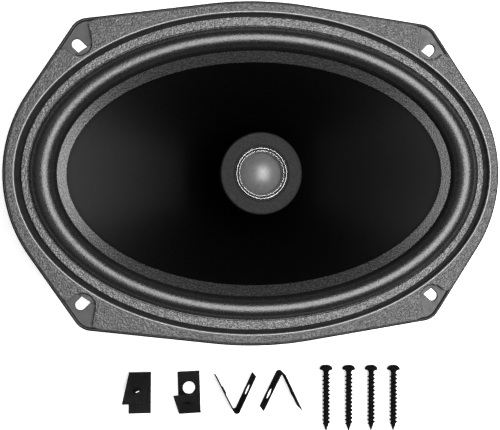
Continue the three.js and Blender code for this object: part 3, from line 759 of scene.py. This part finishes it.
def build_basket():
    edge = outline(0)
    t = np.arctan2(edge[:, 1] / HALF_WIDTH, edge[:, 0] / (END_X + END_R))

    def bowl_ring(a, b, z):
        return np.stack([a * np.cos(t), b * np.sin(t), np.full(len(t), float(z))], 1)

    # From the flange's outer edge over the rim and down the bowl's inner side, then
    # round the bottom and up its outer side to the flange.
    stack = [ring_at(outline(inset), z) for inset, z in [
        (0.5, FLANGE_REAR), (0, FLANGE_REAR + 0.5), (0, RIM_TOP - 0.55), (0.25, RIM_TOP - 0.15),
        (0.7, RIM_TOP), (1.15, RIM_TOP - 0.2), (1.6, FLANGE_FRONT), (2.2, FLANGE_FRONT),
    ]]
    stack += [bowl_ring(a, b, z) for a, b, z in [
        (105.8, 69.6, FLANGE_FRONT), (103.2, 69.2, 71.6), (95.2, 66.3, 62.6), (79.6, 61.3, 52.9),
        (60.6, 54, 45.6), (52, 52, LEDGE_TOP), (41, 41, LEDGE_TOP), (40, 40, 27.4), (20.5, 20.5, 27.4),
        (20.5, 20.5, 26), (41.4, 41.4, 26), (42.4, 42.4, 41.6), (52.6, 52.6, 41.6), (61, 55.2, 44),
        (80.5, 62.5, 51.5), (96.4, 67.6, 61.5), (104.6, 70.6, 71), (107.2, 71, FLANGE_REAR),
    ]]
    stack.append(ring_at(outline(2.6), FLANGE_REAR))
    stack = densify(soften(stack, 1.3, 3), 3.2)
    add_ribs(stack, t)
    shell = skin(stack, closed=True)
    windows = [window_tool((k + 0.5) * 360 / WINDOW_COUNT) for k in range(WINDOW_COUNT)]
    shell = combined(shell, windows)
    board_low, board_high = extent("terminal_board")
    shelf = box(-17, 17, board_low[1] - 0.5, -47, LEDGE_TOP - 1.4, LEDGE_TOP)
    shell = combined(shell, [shelf], "UNION")
    lug_pass = box(-16.5, 16.5, board_low[1] - 2.5, board_high[1] + 0.2, LEDGE_TOP, LEDGE_TOP + 6)
    shell = combined(shell, [lug_pass])
    slots = []
    for sharp, wide in zip(mirrored(slot_loop()), mirrored(slot_loop(0.3))):
        rings = [(sharp, 70), (sharp, FLANGE_FRONT - 0.28), (wide, FLANGE_FRONT + 0.02), (wide, 90)]
        slots.append(skin([ring_at(loop, z) for loop, z in rings]))
    shell = combined(shell, slots)
    # A near-black sheet on the floor of the groove between the gasket and the clamp ring: painted shade.
    low, high = FLANGE_FRONT - 0.2, FLANGE_FRONT + 0.12
    (oa, ob), (ia, ib) = np.array(GASKET_INNER) + 0.4, RING_OUTER - 0.3
    band = moulding([(ia, ib, low), (oa, ob, low), (oa, ob, high), (ia, ib, high)])
    obj = piece("basket", [(shell, PAINT), (band, GROOVE_SHADE)], smooth=38)
    # Painted shade on the rim's outer shoulder.
    paint_rim_shade(obj)


def build_basket_rivets():
    for k in range(4):
        name = f"basket_rivet_{k + 1}"
        low, high = extent(name)
        x, y = (low[:2] + high[:2]) / 2
        rivet = turned([
            (0, low[2]), (1.9, low[2]), (1.9, 27.5), (3.6, 27.5), (3.4, 28.3), (2.3, 29), (0, high[2]),
        ], 0.5, 3, 40)
        piece(name, [(shifted(rivet, x, y, 0), RIVET)])


# ---- Gasket and clamp ring


def gasket_loop():
    """Outline of the gasket in 2-D, with an S-shaped bay round each mounting slot."""
    bay = np.concatenate([
        [(77.7, 69.35), (78.25, 68.5), (78.2, 67.3), (77.6, 64.6)],
        arc(*CUT_CENTRE, CUT_R, 172, 306, 26),
        [(87.7, 55.9), (88.6, 56.7), (89.4, 56.9)],
    ])
    closed_bay = np.concatenate([[(76.7, 80), (76.7, 69.5)], bay, [(110, 56.5), (110, 80)]])
    loop = np.array(densify(outline(GASKET_INSET), 2.5))
    corners = list(mirrored(closed_bay))
    paths = list(mirrored(bay))
    out = []
    taken = [False] * 4
    for point in loop:
        hit = [k for k in range(4) if inside([point], corners[k])[0]]
        if not hit:
            out.append(point)
        elif not taken[hit[0]]:
            taken[hit[0]] = True
            path = paths[hit[0]]
            forward = np.linalg.norm(path[0] - out[-1]) < np.linalg.norm(path[-1] - out[-1])
            out += list(path if forward else path[::-1])
    return np.array(soften(out, 1.0, 4))


def crescent_loop(grow):
    """The low step on the cone side of a bay, bounded by a straight line over the slot."""
    n = np.array([math.cos(math.radians(STEP_NORMAL)), math.sin(math.radians(STEP_NORMAL))])
    away = STEP_LINE - n @ np.array(CUT_CENTRE)
    r = CUT_R + grow
    half = math.degrees(math.acos(-away / r))
    middle = STEP_NORMAL + 180
    return arc(*CUT_CENTRE, r, middle - half, middle + half, 24)


def build_gasket():
    hole = oval(*GASKET_INNER, 0, 320)[:, :2]
    body = plate(gasket_loop(), [hole], FLANGE_FRONT, GASKET_TOP, bevel=0.45)
    a, b = GASKET_INNER
    bead = soften([(a + 0.12, b + 0.12, GASKET_TOP - 0.3), (a + 0.15, b + 0.15, GASKET_TOP + 0.12),
                   (a + 0.55, b + 0.55, GASKET_TOP + 0.28), (a + 1.0, b + 1.0, GASKET_TOP + 0.1),
                   (a + 1.1, b + 1.1, GASKET_TOP - 0.3)], 0.25, 3)
    steps = [plate(loop, [], FLANGE_FRONT, STEP_TOP, bevel=0.3)
             for loop in mirrored(crescent_loop(-0.3))]
    # A dark sheet round each step's foot: painted shade in the crease between the step and the gasket.
    crease_shades = [plate(loop, [], FLANGE_FRONT, SHADE_SHEET_TOP, bevel=0.1)
            for loop in mirrored(crescent_loop(0.6))]
    piece("front_gasket", [
        (body, GRAINED), (moulding(bead, 320), GASKET_EDGE), (join(*steps), PAINT),
        (join(*crease_shades), GROOVE_SHADE),
    ])


def build_clamp_ring():
    section = soften([
        (*RING_INNER, LIP_TOP), (*RING_OUTER, LIP_TOP), (*RING_OUTER, RING_TOP), (*RING_INNER, RING_TOP),
    ], 0.4, 4)
    ring = moulding(densify(section, 1.0), 320)
    piece("surround_clamp_ring", [(ring, RING)])


# ---- Surround, cone and voice coil


def roll(lift, shrink, steps=30):
    """The half roll of the surround, from its outer to its inner side, as [a, b, z]."""
    middle = (np.array(ROLL_OUTER) + ROLL_INNER) / 2
    half = (np.array(ROLL_OUTER) - ROLL_INNER) / 2 - 0.25 - shrink
    points = []
    for i in range(steps + 1):
        t = math.pi * i / steps
        a, b = middle + half * math.cos(t)
        points.append((a, b, LIP_TOP - 0.9 * i / steps + (ROLL_TOP - LIP_TOP - lift) * math.sin(t)))
    return points


def oval_share(points, outer, inner):
    """How far in each point is, from 0 on the outer oval to 1 on the inner one."""
    low, high = np.zeros(len(points)), np.ones(len(points))
    for _ in range(30):
        middle = (low + high) / 2
        a = outer[0] + (inner[0] - outer[0]) * middle
        b = outer[1] + (inner[1] - outer[1]) * middle
        beyond = (points[:, 0] / a) ** 2 + (points[:, 1] / b) ** 2 > 1
        high = np.where(beyond, middle, high)
        low = np.where(beyond, low, middle)
    return (low + high) / 2


def lift_ends(obj):
    """Raise the cone's edge at the two far ends of the oval and lower it at the sides."""
    points = points_of(obj)
    lip = 1 - oval_share(points, ROLL_INNER, CONE_EDGE)
    wall = 1 - oval_share(points, CONE_EDGE, (NECK_R, NECK_R))
    across = (points[:, 0] / CONE_EDGE[0]) ** 2
    along = across / (across + (points[:, 1] / CONE_EDGE[1]) ** 2 + 1e-9)
    change = END_LIFT * along ** 2 - SIDE_DROP * (1 - along) ** 2
    points[:, 2] += change * np.minimum(1 - lip, wall ** 2)
    obj.data.vertices.foreach_set("co", (points * MM).ravel())


def bend_between(obj):
    """Bake obj's placement into its mesh."""
    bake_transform(obj)


def points_of(obj):
    return np.array([v.co for v in obj.data.vertices], float) / MM


def build_surround():
    lip = [(*CONE_EDGE, EDGE_Z + 0.7), (*CONE_EDGE, EDGE_Z + 0.12), (92.6, 56.8, RIM_Z - 0.3)]
    section = [
        (*FOOT_INNER, FLANGE_FRONT), (*RING_OUTER, FLANGE_FRONT), (*RING_OUTER, LIP_TOP), *roll(0, 0),
        *lip, *reversed(roll(0.7, 0.7)),
    ]
    surround = moulding(section, 320)
    obj = piece("surround", [(surround, RUBBER)], body=None, smooth=40)
    lift_ends(obj)
    bend_between(obj)


def build_cone():
    def at(share, drop):
        a = NECK_R + (CONE_EDGE[0] - NECK_R) * share
        b = NECK_R + (CONE_EDGE[1] - NECK_R) * share
        return a, b, NECK_Z + (EDGE_Z - NECK_Z) * share ** 0.8 - drop

    thick = 0.9
    shares = np.linspace(0, 1, 34)
    a, b, z = 92.4, 56.6, RIM_Z - 0.6
    section = [at(s, thick) for s in shares] + [(a, b, z - thick), (a, b, z)]
    section += [at(s, 0) for s in shares[::-1]]
    glue = soften([(COIL_MID, COIL_MID, NECK_Z - 2), (NECK_R + 1.6, NECK_R + 1.6, NECK_Z - 0.2),
                   (COIL_MID, COIL_MID, NECK_Z + 0.2)], 0.6, 4)
    parts = [(moulding(section), POLY), (moulding(glue, 96), GLUE)]
    lift_ends(piece("cone", parts, body="cone_assembly", smooth=50))


def build_voice_coil():
    low, high = extent("voice_coil_former")
    r = COIL_MID - 0.02
    former = [(COIL_IN, low[2]), (r, low[2]), (r, high[2]), (COIL_IN, high[2])]
    piece("voice_coil_former", [(lathe(densify(former, 6), 96), FOIL)], body="cone_assembly")
    low, high = extent("voice_coil_winding")
    outer = high[0]
    turns = 22
    pitch = (high[2] - low[2]) / turns
    section = [(COIL_MID, low[2])]
    for k in range(turns):
        for a in (20, 60, 90, 120, 160):
            t = math.radians(a)
            r = outer - pitch / 2 + pitch / 2 * math.sin(t)
            section.append((r, low[2] + pitch * (k + 0.5 - 0.5 * math.cos(t))))
    section.append((COIL_MID, high[2]))
    piece("voice_coil_winding", [(lathe(section, 96), COPPER)], body="cone_assembly",
          smooth=60)


def build_spider():
    def wavy(drop):
        points = []
        for r in np.linspace(WAVES_IN, WAVES_OUT, 71):
            phase = (r - WAVES_IN) / (WAVES_OUT - WAVES_IN)
            swell = math.sin(math.pi * phase) ** 0.35
            points.append((r, 44.7 + 1.25 * swell * math.sin(TAU * WAVE_COUNT * phase) - drop))
        return points

    outer = extent("spider")[1][0]
    section = [
        (COIL_MID + 0.1, 44.2), *wavy(0.5), (44.6, LEDGE_TOP), (outer, LEDGE_TOP),
        (outer, LEDGE_TOP + 0.55), (44.8, LEDGE_TOP + 0.6), *reversed(wavy(0)), (COIL_MID + 0.1, 44.9),
    ]
    obj = piece("spider", [(lathe(section, 160), CLOTH)], body=None, smooth=60)
    bend_between(obj)


def build_tinsel_leads():
    for name, side in (("tinsel_lead_positive", 1), ("tinsel_lead_negative", -1)):
        route = smooth_path([
            (side * 7, -53.2, 46.4), (side * 7.4, -49, 48.4), (side * 7.8, -41, 49.4),
            (side * 7.6, -31, 49), (side * 6.8, -22, 48), (side * 5.6, -14.9, 47.8),
        ], 140)
        rope = twisted(route, 4, 3.2, 0.33, 0.34)
        joint = turned([(0, -0.9), (1.1, -0.6), (1.25, 0.1), (0.6, 0.8), (0, 0.9)], 0.4, 3, 20)
        ends = [(shifted(joint, *route[k]), SOLDER) for k in (0, -1)]
        obj = piece(name, [(rope, BRAID), *ends], body=None, smooth=60)
        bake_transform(obj)


# ---- Motor


def build_motor():
    low, high = extent("t_yoke")
    rim, top = high[0], high[2]
    thick = extent("magnet")[0][2]
    section = soften([
        (POLE_BORE, 0), (rim - 1, 0), (rim, 1), (rim, thick - 0.3), (rim - 0.3, thick),
        (POLE_R + 2, thick), (POLE_R, thick + 2), (POLE_R, top - 0.6), (POLE_R - 0.6, top),
        (POLE_BORE, top),
    ], 0.35, 3)
    yoke = lathe(densify(section, 4), 160)
    groove = box(-GROOVE_HALF, GROOVE_HALF, -50, 0, -1, GROOVE_DEEP)
    piece("t_yoke", [(combined(yoke, [groove]), ZINC)])

    low, high = extent("magnet")
    r = high[0]
    section = soften([
        (MAGNET_BORE, low[2]), (r - 1.2, low[2]), (r, low[2] + 1.2), (r, high[2] - 1.2),
        (r - 1.2, high[2]), (MAGNET_BORE, high[2]),
    ], 0.4, 3)
    piece("magnet", [(lathe(densify(section, 4), 160), FERRITE)])

    low, high = extent("top_plate")
    r = high[0]
    section = soften([
        (GAP_R, low[2]), (r - 0.6, low[2]), (r, low[2] + 0.6), (r, high[2] - 0.5), (r - 0.5, high[2]),
        (GAP_R, high[2]),
    ], 0.3, 3)
    plate_shell = lathe(densify(section, 4), 160)
    drill = lathe([(0, -6), (2.1, -6), (2.1, 4), (0, 4)], 24, closed=False)
    holes = []
    for spot in np.radians([45, 135, 225, 315]):
        holes.append(shifted(drill, RIVET_RING * math.cos(spot), RIVET_RING * math.sin(spot), high[2]))
    piece("top_plate", [(combined(plate_shell, holes), ZINC)])


# ---- Tweeter


def build_tweeter_case():
    top = extent("tweeter_post")[1][2]
    r = POST_R
    section = soften([
        (0, 0), (r - 0.4, 0), (r, 0.4), (r, top - 3.2), (6.2, top - 2.4), (8.4, top - 1.8), (8.4, top),
        (0, top),
    ], 0.4, 3, closed=False)
    post = lathe(densify(section, 5, closed=False), 64, closed=False)
    bore = lathe([(0, 1), (POST_BORE, 1), (POST_BORE, 80), (0, 80)], 32, closed=False)
    post = combined(post, [bore])
    post = combined(post, [box(-1.6, 1.6, -8, 0, 1, GROOVE_DEEP + 1.6)])
    piece("tweeter_post", [(post, ALLOY)])

    low, high = extent("tweeter_housing")
    r, z = high[0], high[2]
    section = soften([
        (2.6, low[2]), (11, low[2]), (15.6, 66.6), (18.4, 73), (r - 0.1, 79.4), (r - 0.1, z),
        (18.2, z), (17.1, 73.4), (14, 67.6), (2.6, 66.9),
    ], 1.6, 5)
    piece("tweeter_housing", [(lathe(densify(section, 2.5), 128), PLASTIC)],
          smooth=40)

    trim_low, trim_high = extent("tweeter_trim_ring")
    trim_out = trim_high[0]
    low, high = extent("tweeter_bezel")
    r, top = high[0], high[2]
    section = soften([
        (trim_out + 0.1, low[2]), (r, low[2]), (r, top - 0.55), (r - 0.5, top), (r - 1.1, top - 0.12),
        (trim_out + 1.2, top - 0.12), (trim_out + 0.8, top - 0.4), (trim_out + 0.1, top - 0.4),
    ], 0.3, 4)
    piece("tweeter_bezel", [(lathe(densify(section, 2), 128), PLASTIC)], smooth=40)

    trim_in = trim_out - TRIM_WIDTH
    middle = (trim_in + trim_out) / 2
    z = trim_high[2]
    base = [(middle, trim_low[2]), (trim_out - 0.05, trim_low[2]), (trim_out - 0.05, z - 0.75),
            (trim_in + 0.1, z - 0.85), (trim_in + 0.1, z - 1.4), (middle, z - 1.6)]
    crests = []
    for r, half, height in ((trim_out - 0.3, 0.2, z), (trim_in + 0.4, 0.15, z - 0.2)):
        crests.append(lathe(soften([
            (r - half, z - 1), (r + half, z - 1), (r + half, height - 0.2), (r, height),
            (r - half, height - 0.2),
        ], 0.2, 4), 160))
    piece("tweeter_trim_ring", [(lathe(base, 128), DARK_GROOVE), (join(*crests), SILVER)],
          smooth=50)


def build_tweeter_motor():
    for node, slot, look_used, inset in (("tweeter_magnet", "neodymium", NICKEL, 0.4),
                                         ("tweeter_top_plate", "zinc_steel", ZINC, 0.3)):
        low, high = extent(node)
        section = soften([(0, low[2]), (high[0], low[2]), (high[0], high[2]), (0, high[2])], inset, 3,
                         closed=False)
        disc = lathe(densify(section, 3, closed=False), 64, closed=False)
        piece(node, [(disc, look_used)])
    low, high = extent("tweeter_yoke")
    r = high[0]
    section = soften([(1.2, low[2]), (r, low[2]), (r, high[2]), (r - 2.6, high[2]), (r - 2.6, low[2] + 1.5),
                      (1.2, low[2] + 1.5)], 0.5, 3)
    piece("tweeter_yoke", [(lathe(densify(section, 3), 96), ZINC)])

    low, high = extent("tweeter_voice_coil")
    section, turns = [(8.9, low[2])], 14
    wound = 3.4
    for k in range(turns):
        for a in (30, 90, 150):
            t = math.radians(a)
            z = low[2] + wound / turns * (k + 0.5 - 0.5 * math.cos(t))
            section.append((high[0] - 0.12 + 0.12 * math.sin(t), z))
    section += [(9.1, low[2] + wound), (9.1, high[2]), (8.9, high[2])]
    piece("tweeter_voice_coil", [(lathe(section, 96), COPPER)], body="tweeter_diaphragm",
          smooth=60)


def build_tweeter_dome():
    edge, _, top = extent("tweeter_dome")[1]
    base, reach = DOME_BASE, DOME_R
    rise = top - base
    sphere = (reach ** 2 + rise ** 2) / (2 * rise)
    half = math.asin(reach / sphere)

    def cap(shrink):
        return [((sphere - shrink) * math.sin(t), top - sphere + (sphere - shrink) * math.cos(t))
                for t in half * np.linspace(1, 0, 26)]

    edge_roll = [(edge - 0.58 + 0.54 * math.cos(a), base + 0.5 + 0.55 * math.sin(a))
                 for a in np.linspace(0, math.pi, 10)]
    section = [*reversed(cap(0.35)), (reach - 0.1, base - 0.3), (edge - 0.4, base - 0.2),
               (edge - 0.02, base), *edge_roll, *cap(0)]
    piece("tweeter_dome", [(lathe(section, 128, closed=False), SILK)], body="tweeter_diaphragm",
          smooth=50)


# ---- Cable and terminals


def build_cable():
    route = smooth_path([
        (0, 0, 66.6), (0, 0, 40), (0, 0, 12), (0, -0.3, 5.4), (0, -1.8, 3), (0, -5, 2.1), (0, -20, 2.1),
        (0, -42, 2.1), (0, -46.2, 2.8), (-0.4, -48.4, 6), (-1, -48.6, 14), (-3, -48.6, 24), (-8, -51, 31),
        (-11.4, -56, 35), (-10.6, -63, 38), (-8.4, -66.6, 41), (-7, -67.4, 43.9),
    ], 240)
    # Two conductors side by side with a web between them.
    reach, r = 0.52, 0.56
    section = [(reach + r * math.cos(t), r * math.sin(t)) for t in np.radians(np.linspace(-125, 125, 13))]
    section += [(-reach + r * math.cos(t), r * math.sin(t)) for t in np.radians(np.linspace(55, 305, 13))]
    joint = turned([(0, -0.8), (1, -0.5), (1.2, 0.3), (0.5, 0.8), (0, 0.9)], 0.4, 3, 20)
    cable = sweep(route, section, up=(1, 0, 0))
    piece("tweeter_cable", [(cable, JACKET), (shifted(joint, *route[-1]), SOLDER)],
          smooth=60)


def rounded(corners, radius, steps=4):
    return np.array(soften([np.array(c, float) for c in corners], radius, steps))


def build_terminals():
    low, high = extent("terminal_board")
    board = rounded([(low[0], low[1]), (high[0], low[1]), (high[0], high[1]), (low[0], high[1])], 1.2)
    holes = [np.array(circle(1.6, 24)) + (x, -60) for x in (-13, 13)]
    piece("terminal_board", [(plate(board, holes, low[2], high[2], bevel=0.15, low_bevel=0.15), PHENOLIC)])
    for name, wide in (("terminal_positive", 4.8), ("terminal_negative", 2.8)):
        low, high = extent(name)
        x, half = (low[0] + high[0]) / 2, wide / 2
        tab = rounded([
            (x - 2.6, -62), (x - half, -63.2), (x - half, low[1] + 1), (x - half + 0.8, low[1]),
            (x + half - 0.8, low[1]), (x + half, low[1] + 1), (x + half, -63.2), (x + 2.6, -62),
            (x + 2.6, -56), (x + 1.2, -54.8), (x + 1.2, high[1]), (x - 1.2, high[1]), (x - 1.2, -54.8),
            (x - 2.6, -56),
        ], 0.4)
        hole = np.array(circle(0.7, 20)) + (x, -68.4)
        eyelet = lathe(soften([
            (0.2, 0), (1.9, 0), (1.9, 0.3), (1.2, 0.6), (0.5, 0.35), (0.2, 0.35),
        ], 0.15, 3), 32)
        piece(name, [(plate(tab, [hole], low[2], high[2], bevel=0.12, low_bevel=0.12), TIN),
                     (shifted(eyelet, x, -59, high[2] - 0.02), TIN)])
    for k, x in enumerate((-13, 13)):
        low, high = extent(f"terminal_rivet_{k + 1}")
        rivet = turned([
            (0, low[2]), (2.2, low[2]), (2.6, 41.5), (1.45, 41.6), (1.45, 44.6), (2.7, 44.62),
            (2.5, 45.3), (1.2, high[2]), (0, high[2]),
        ], 0.25, 3, 40)
        piece(f"terminal_rivet_{k + 1}", [(shifted(rivet, x, -60, 0), RIVET)])


def build_capacitor():
    along = Matrix.Translation((0, -57.5, 37.4)) @ turn(90, "Y")
    body = soften([(3.55, -6.7), (3.9, -6.2), (3.9, -5.4), (3.72, -5.1), (3.9, -4.8), (3.9, 6.3), (3.6, 6.8),
                   (3.3, 6.95), (3.3, -6.95)], 0.3, 3)
    ends = turned([
        (0, -6.8), (3.3, -6.8), (3.45, -6.5), (3.45, 6.5), (3.3, 6.8), (0, 6.8),
    ], 0.3, 3, 48)
    leads = [
        [(6, -57.5, 37.4), (8.6, -57.5, 37.4), (10.6, -60, 37.6), (10.4, -64, 39.4),
         (8.6, -66.6, 41.6), (7, -67.2, 44.2)],
        [(-6, -57.5, 37.4), (-7.6, -57.5, 37.4), (-9.4, -57.5, 37.2)],
    ]
    wires = [sweep(smooth_path(points, 40), circle(0.38, 10)) for points in leads]
    joint = turned([(0, -0.8), (1, -0.5), (1.1, 0.2), (0.5, 0.6), (0, 0.7)], 0.4, 3, 20)
    piece("crossover_capacitor", [
        (moved(lathe(body, 64), along), FILM), (moved(ends, along), EPOXY), (join(*wires), TIN),
        (shifted(joint, *leads[0][-1]), SOLDER),
    ], smooth=45)


# ---- Mounting kit


def ramp(value, start, end):
    """0 before start, 1 after end, smooth between them. start may be the greater one."""
    s = np.clip((value - start) / (end - start), 0, 1)
    return s * s * (3 - 2 * s)


def screw_shell():
    """Self-tapping pan head screw along +Z from its point, with a helical thread."""
    sides = 32
    under = SCREW_LENGTH - SCREW_HEAD_RISE
    z = np.linspace(0, under - 0.05, 250)
    angles = np.linspace(0, TAU, sides, endpoint=False)
    core = SCREW_CORE_R * np.clip(z / 4.6, 0, 1) ** 0.85 + 0.75 * ramp(z, under - 2.2, under) ** 1.5
    crest = (SCREW_R - SCREW_CORE_R) * ramp(z, 2.2, 6) * ramp(z, under - 2.2, under - 3.2)
    phase = (z[:, None] / SCREW_PITCH - angles[None, :] / TAU) % 1
    ridge = np.clip(1 - np.abs(phase - 0.5) / 0.27, 0, 1)
    r = core[:, None] + crest[:, None] * ridge
    rings = np.stack([r * np.cos(angles), r * np.sin(angles), np.repeat(z[:, None], sides, 1)], 2)
    head = turned([
        (0, under), (SCREW_HEAD_R - 0.15, under), (SCREW_HEAD_R, under + 0.35), (3.35, under + 1.3),
        (2.5, under + 2.05), (1.3, under + 2.45), (0, SCREW_LENGTH),
    ], 0.5, 3, 48)
    # Cross recess, as two tapered wings.
    low = [(-0.9, -0.2), (0.9, -0.2), (0.9, 0.2), (-0.9, 0.2)]
    high = [(-3.5, -1), (3.5, -1), (3.5, 1), (-3.5, 1)]
    wing = skin([ring_at(low, under + 0.6), ring_at(high, SCREW_LENGTH + 0.4)])
    for angle in (0, 90):
        head = combined(head, [moved(wing, turn(angle, "Z"))])
    return join(skin(rings), head)


def build_screws():
    shell = screw_shell()
    # A screw on its side rests on its head and on the first full turn of its thread.
    run = SCREW_LENGTH - SCREW_HEAD_RISE - SCREW_TAPER
    lift = math.degrees(math.atan((SCREW_HEAD_R - SCREW_R) / run))
    for k in range(4):
        name = f"mounting_screw_{k + 1}"
        low, high = extent(name)
        points, faces = moved(shell, turn(lift, "X") @ turn(-90, "X") @ turn(4 * k, "Z"))
        points = points + ((low[0] + high[0]) / 2, high[1] - points[:, 1].max(), -points[:, 2].min())
        piece(name, [((points, faces), OXIDE)], body=f"loose_{name}", smooth=35)


def clip_shell(lean):
    """Speed clip: a strip bent into a V, with the bend at the origin.

    The legs run out on each side of +X. The upper one has the thread hole, and its tip is
    out of line by lean.
    """
    half = CLIP_ANGLE / 2
    r = CLIP_BEND - CLIP_SHEET / 2
    leg = CLIP_LEG - CLIP_BEND
    c, s = math.cos(math.radians(half)), math.sin(math.radians(half))
    ends = [(leg * c - r * s, sign * (leg * s + r * c)) for sign in (1, -1)]
    path = [ends[0], *arc(0, 0, r, 90 + half, 270 - half, 18), ends[1]]
    path = [(x, y, 0) for x, y in path]
    b = 0.13
    w, t = CLIP_WIDTH / 2, CLIP_SHEET / 2
    section = [(-w + b, -t), (w - b, -t), (w, -t + b), (w, t - b), (w - b, t), (-w + b, t),
               (-w, t - b), (-w, -t + b)]
    clip = sweep(path, section)
    for sign, hole in ((1, CLIP_THREAD_R), (-1, CLIP_HOLE_R)):
        drill = lathe([(0, -3), (hole, -3), (hole, 3), (0, 3)], 40, closed=False)
        place = turn(sign * half, "Z") @ Matrix.Translation((CLIP_HOLE_RUN, sign * r, 0)) @ turn(90, "X")
        clip = combined(clip, [moved(drill, place)])
    r_in = CLIP_THREAD_R
    collar = lathe(soften([
        (r_in, -0.4), (r_in, 0.9), (2.05, 0.9), (2.3, 0.45), (3.0, 0.3), (3.0, -0.3),
    ], 0.25, 3), 40)
    place = turn(half, "Z") @ Matrix.Translation((CLIP_HOLE_RUN, r, 0)) @ turn(90, "X")
    clip = join(clip, moved(collar, place))
    points, faces = clip
    run = points[:, 0] * c + points[:, 1] * s
    upper = (points[:, 1] > 0.5) & (run > 0)
    points = points.copy()
    points[upper, 2] += lean * run[upper] / leg
    return points, faces


def build_clips():
    places = [(True, -91, 3.8), (True, 91, -3.8), (False, 90, 0.0), (False, -91, 0.0)]
    for k, (flat, spin, lean) in enumerate(places):
        name = f"speed_clip_{k + 1}"
        low, high = extent(name)
        stand = turn(90, "X") @ turn(CLIP_ANGLE / 2, "Z") if flat else Matrix.Identity(4)
        points, faces = moved(clip_shell(lean), turn(spin, "Z") @ stand)
        points = points + (low - points.min(0))
        piece(name, [((points, faces), OXIDE)], body=f"loose_{name}", smooth=35)


# ---- Studio


def build_studio():
    """A white floor with low walls far off, lights overhead, and the camera, in metres."""
    floor_mesh = bpy.data.meshes.new("floor")
    reach, wall = 15, 1.2
    rim = [(-reach, -reach), (reach, -reach), (reach, reach), (-reach, reach)]
    sides = [(k, (k + 1) % 4, (k + 1) % 4 + 4, k + 4) for k in range(4)]
    floor_mesh.from_pydata([(x, y, z) for z in (0, wall) for x, y in rim], [], [(0, 1, 2, 3), *sides])
    floor = linked("floor", floor_mesh)
    floor.location.z = -0.0003
    paper = look("floor_paper", 0.86, 0.85, specular=0.1, mottle=0.015, patch=60,
                 bumps=[("grain", 3, 0.05)])
    shader = paper.node_tree.nodes["Principled BSDF"]
    shader.inputs["Emission Color"].default_value = (1, 1, 1, 1)
    shader.inputs["Emission Strength"].default_value = 0.6
    floor_mesh.materials.append(paper)

    def softbox(name, place, size, radiance):
        """A rectangular light that looks straight down."""
        light = bpy.data.lights.new(name, "AREA")
        light.shape = "RECTANGLE"
        light.size, light.size_y = size
        light.energy = radiance * math.pi * size[0] * size[1]
        obj = linked(name, light)
        obj.location = place
        down = Vector((0, 0, -place[2]))
        obj.rotation_euler = down.to_track_quat("-Z", "Y").to_euler()

    softbox("key", (0.23, 0.03, 0.9), (0.66, 0.8), 5.5)
    softbox("key_core", (0.22, 0.04, 0.89), (0.5, 0.56), 5.5)
    softbox("fill", (0.0, 0.0, 0.92), (1.7, 1.3), 0.5)
    world = bpy.data.worlds.new("studio")
    world.use_nodes = True
    world.node_tree.nodes["Background"].inputs["Color"].default_value = (1, 1, 1, 1)
    world.node_tree.nodes["Background"].inputs["Strength"].default_value = 0.03
    bpy.context.scene.world = world
    bpy.context.scene.view_settings.view_transform = "Standard"

    lens = bpy.data.cameras.new("camera")
    lens.lens = 64.8
    lens.sensor_width = 36
    camera = linked("camera", lens)
    camera.location = (-0.06685, -0.01512, 0.4961)
    camera.rotation_euler = (math.radians(-0.470), math.radians(-8.453), math.radians(-0.661))
    bpy.context.scene.camera = camera


build_basket()
build_basket_rivets()
build_gasket()
build_clamp_ring()
build_surround()
build_cone()
build_voice_coil()
build_spider()
build_tinsel_leads()
build_motor()
build_tweeter_case()
build_tweeter_motor()
build_tweeter_dome()
build_cable()
build_terminals()
build_capacitor()
build_screws()
build_clips()
build_studio()
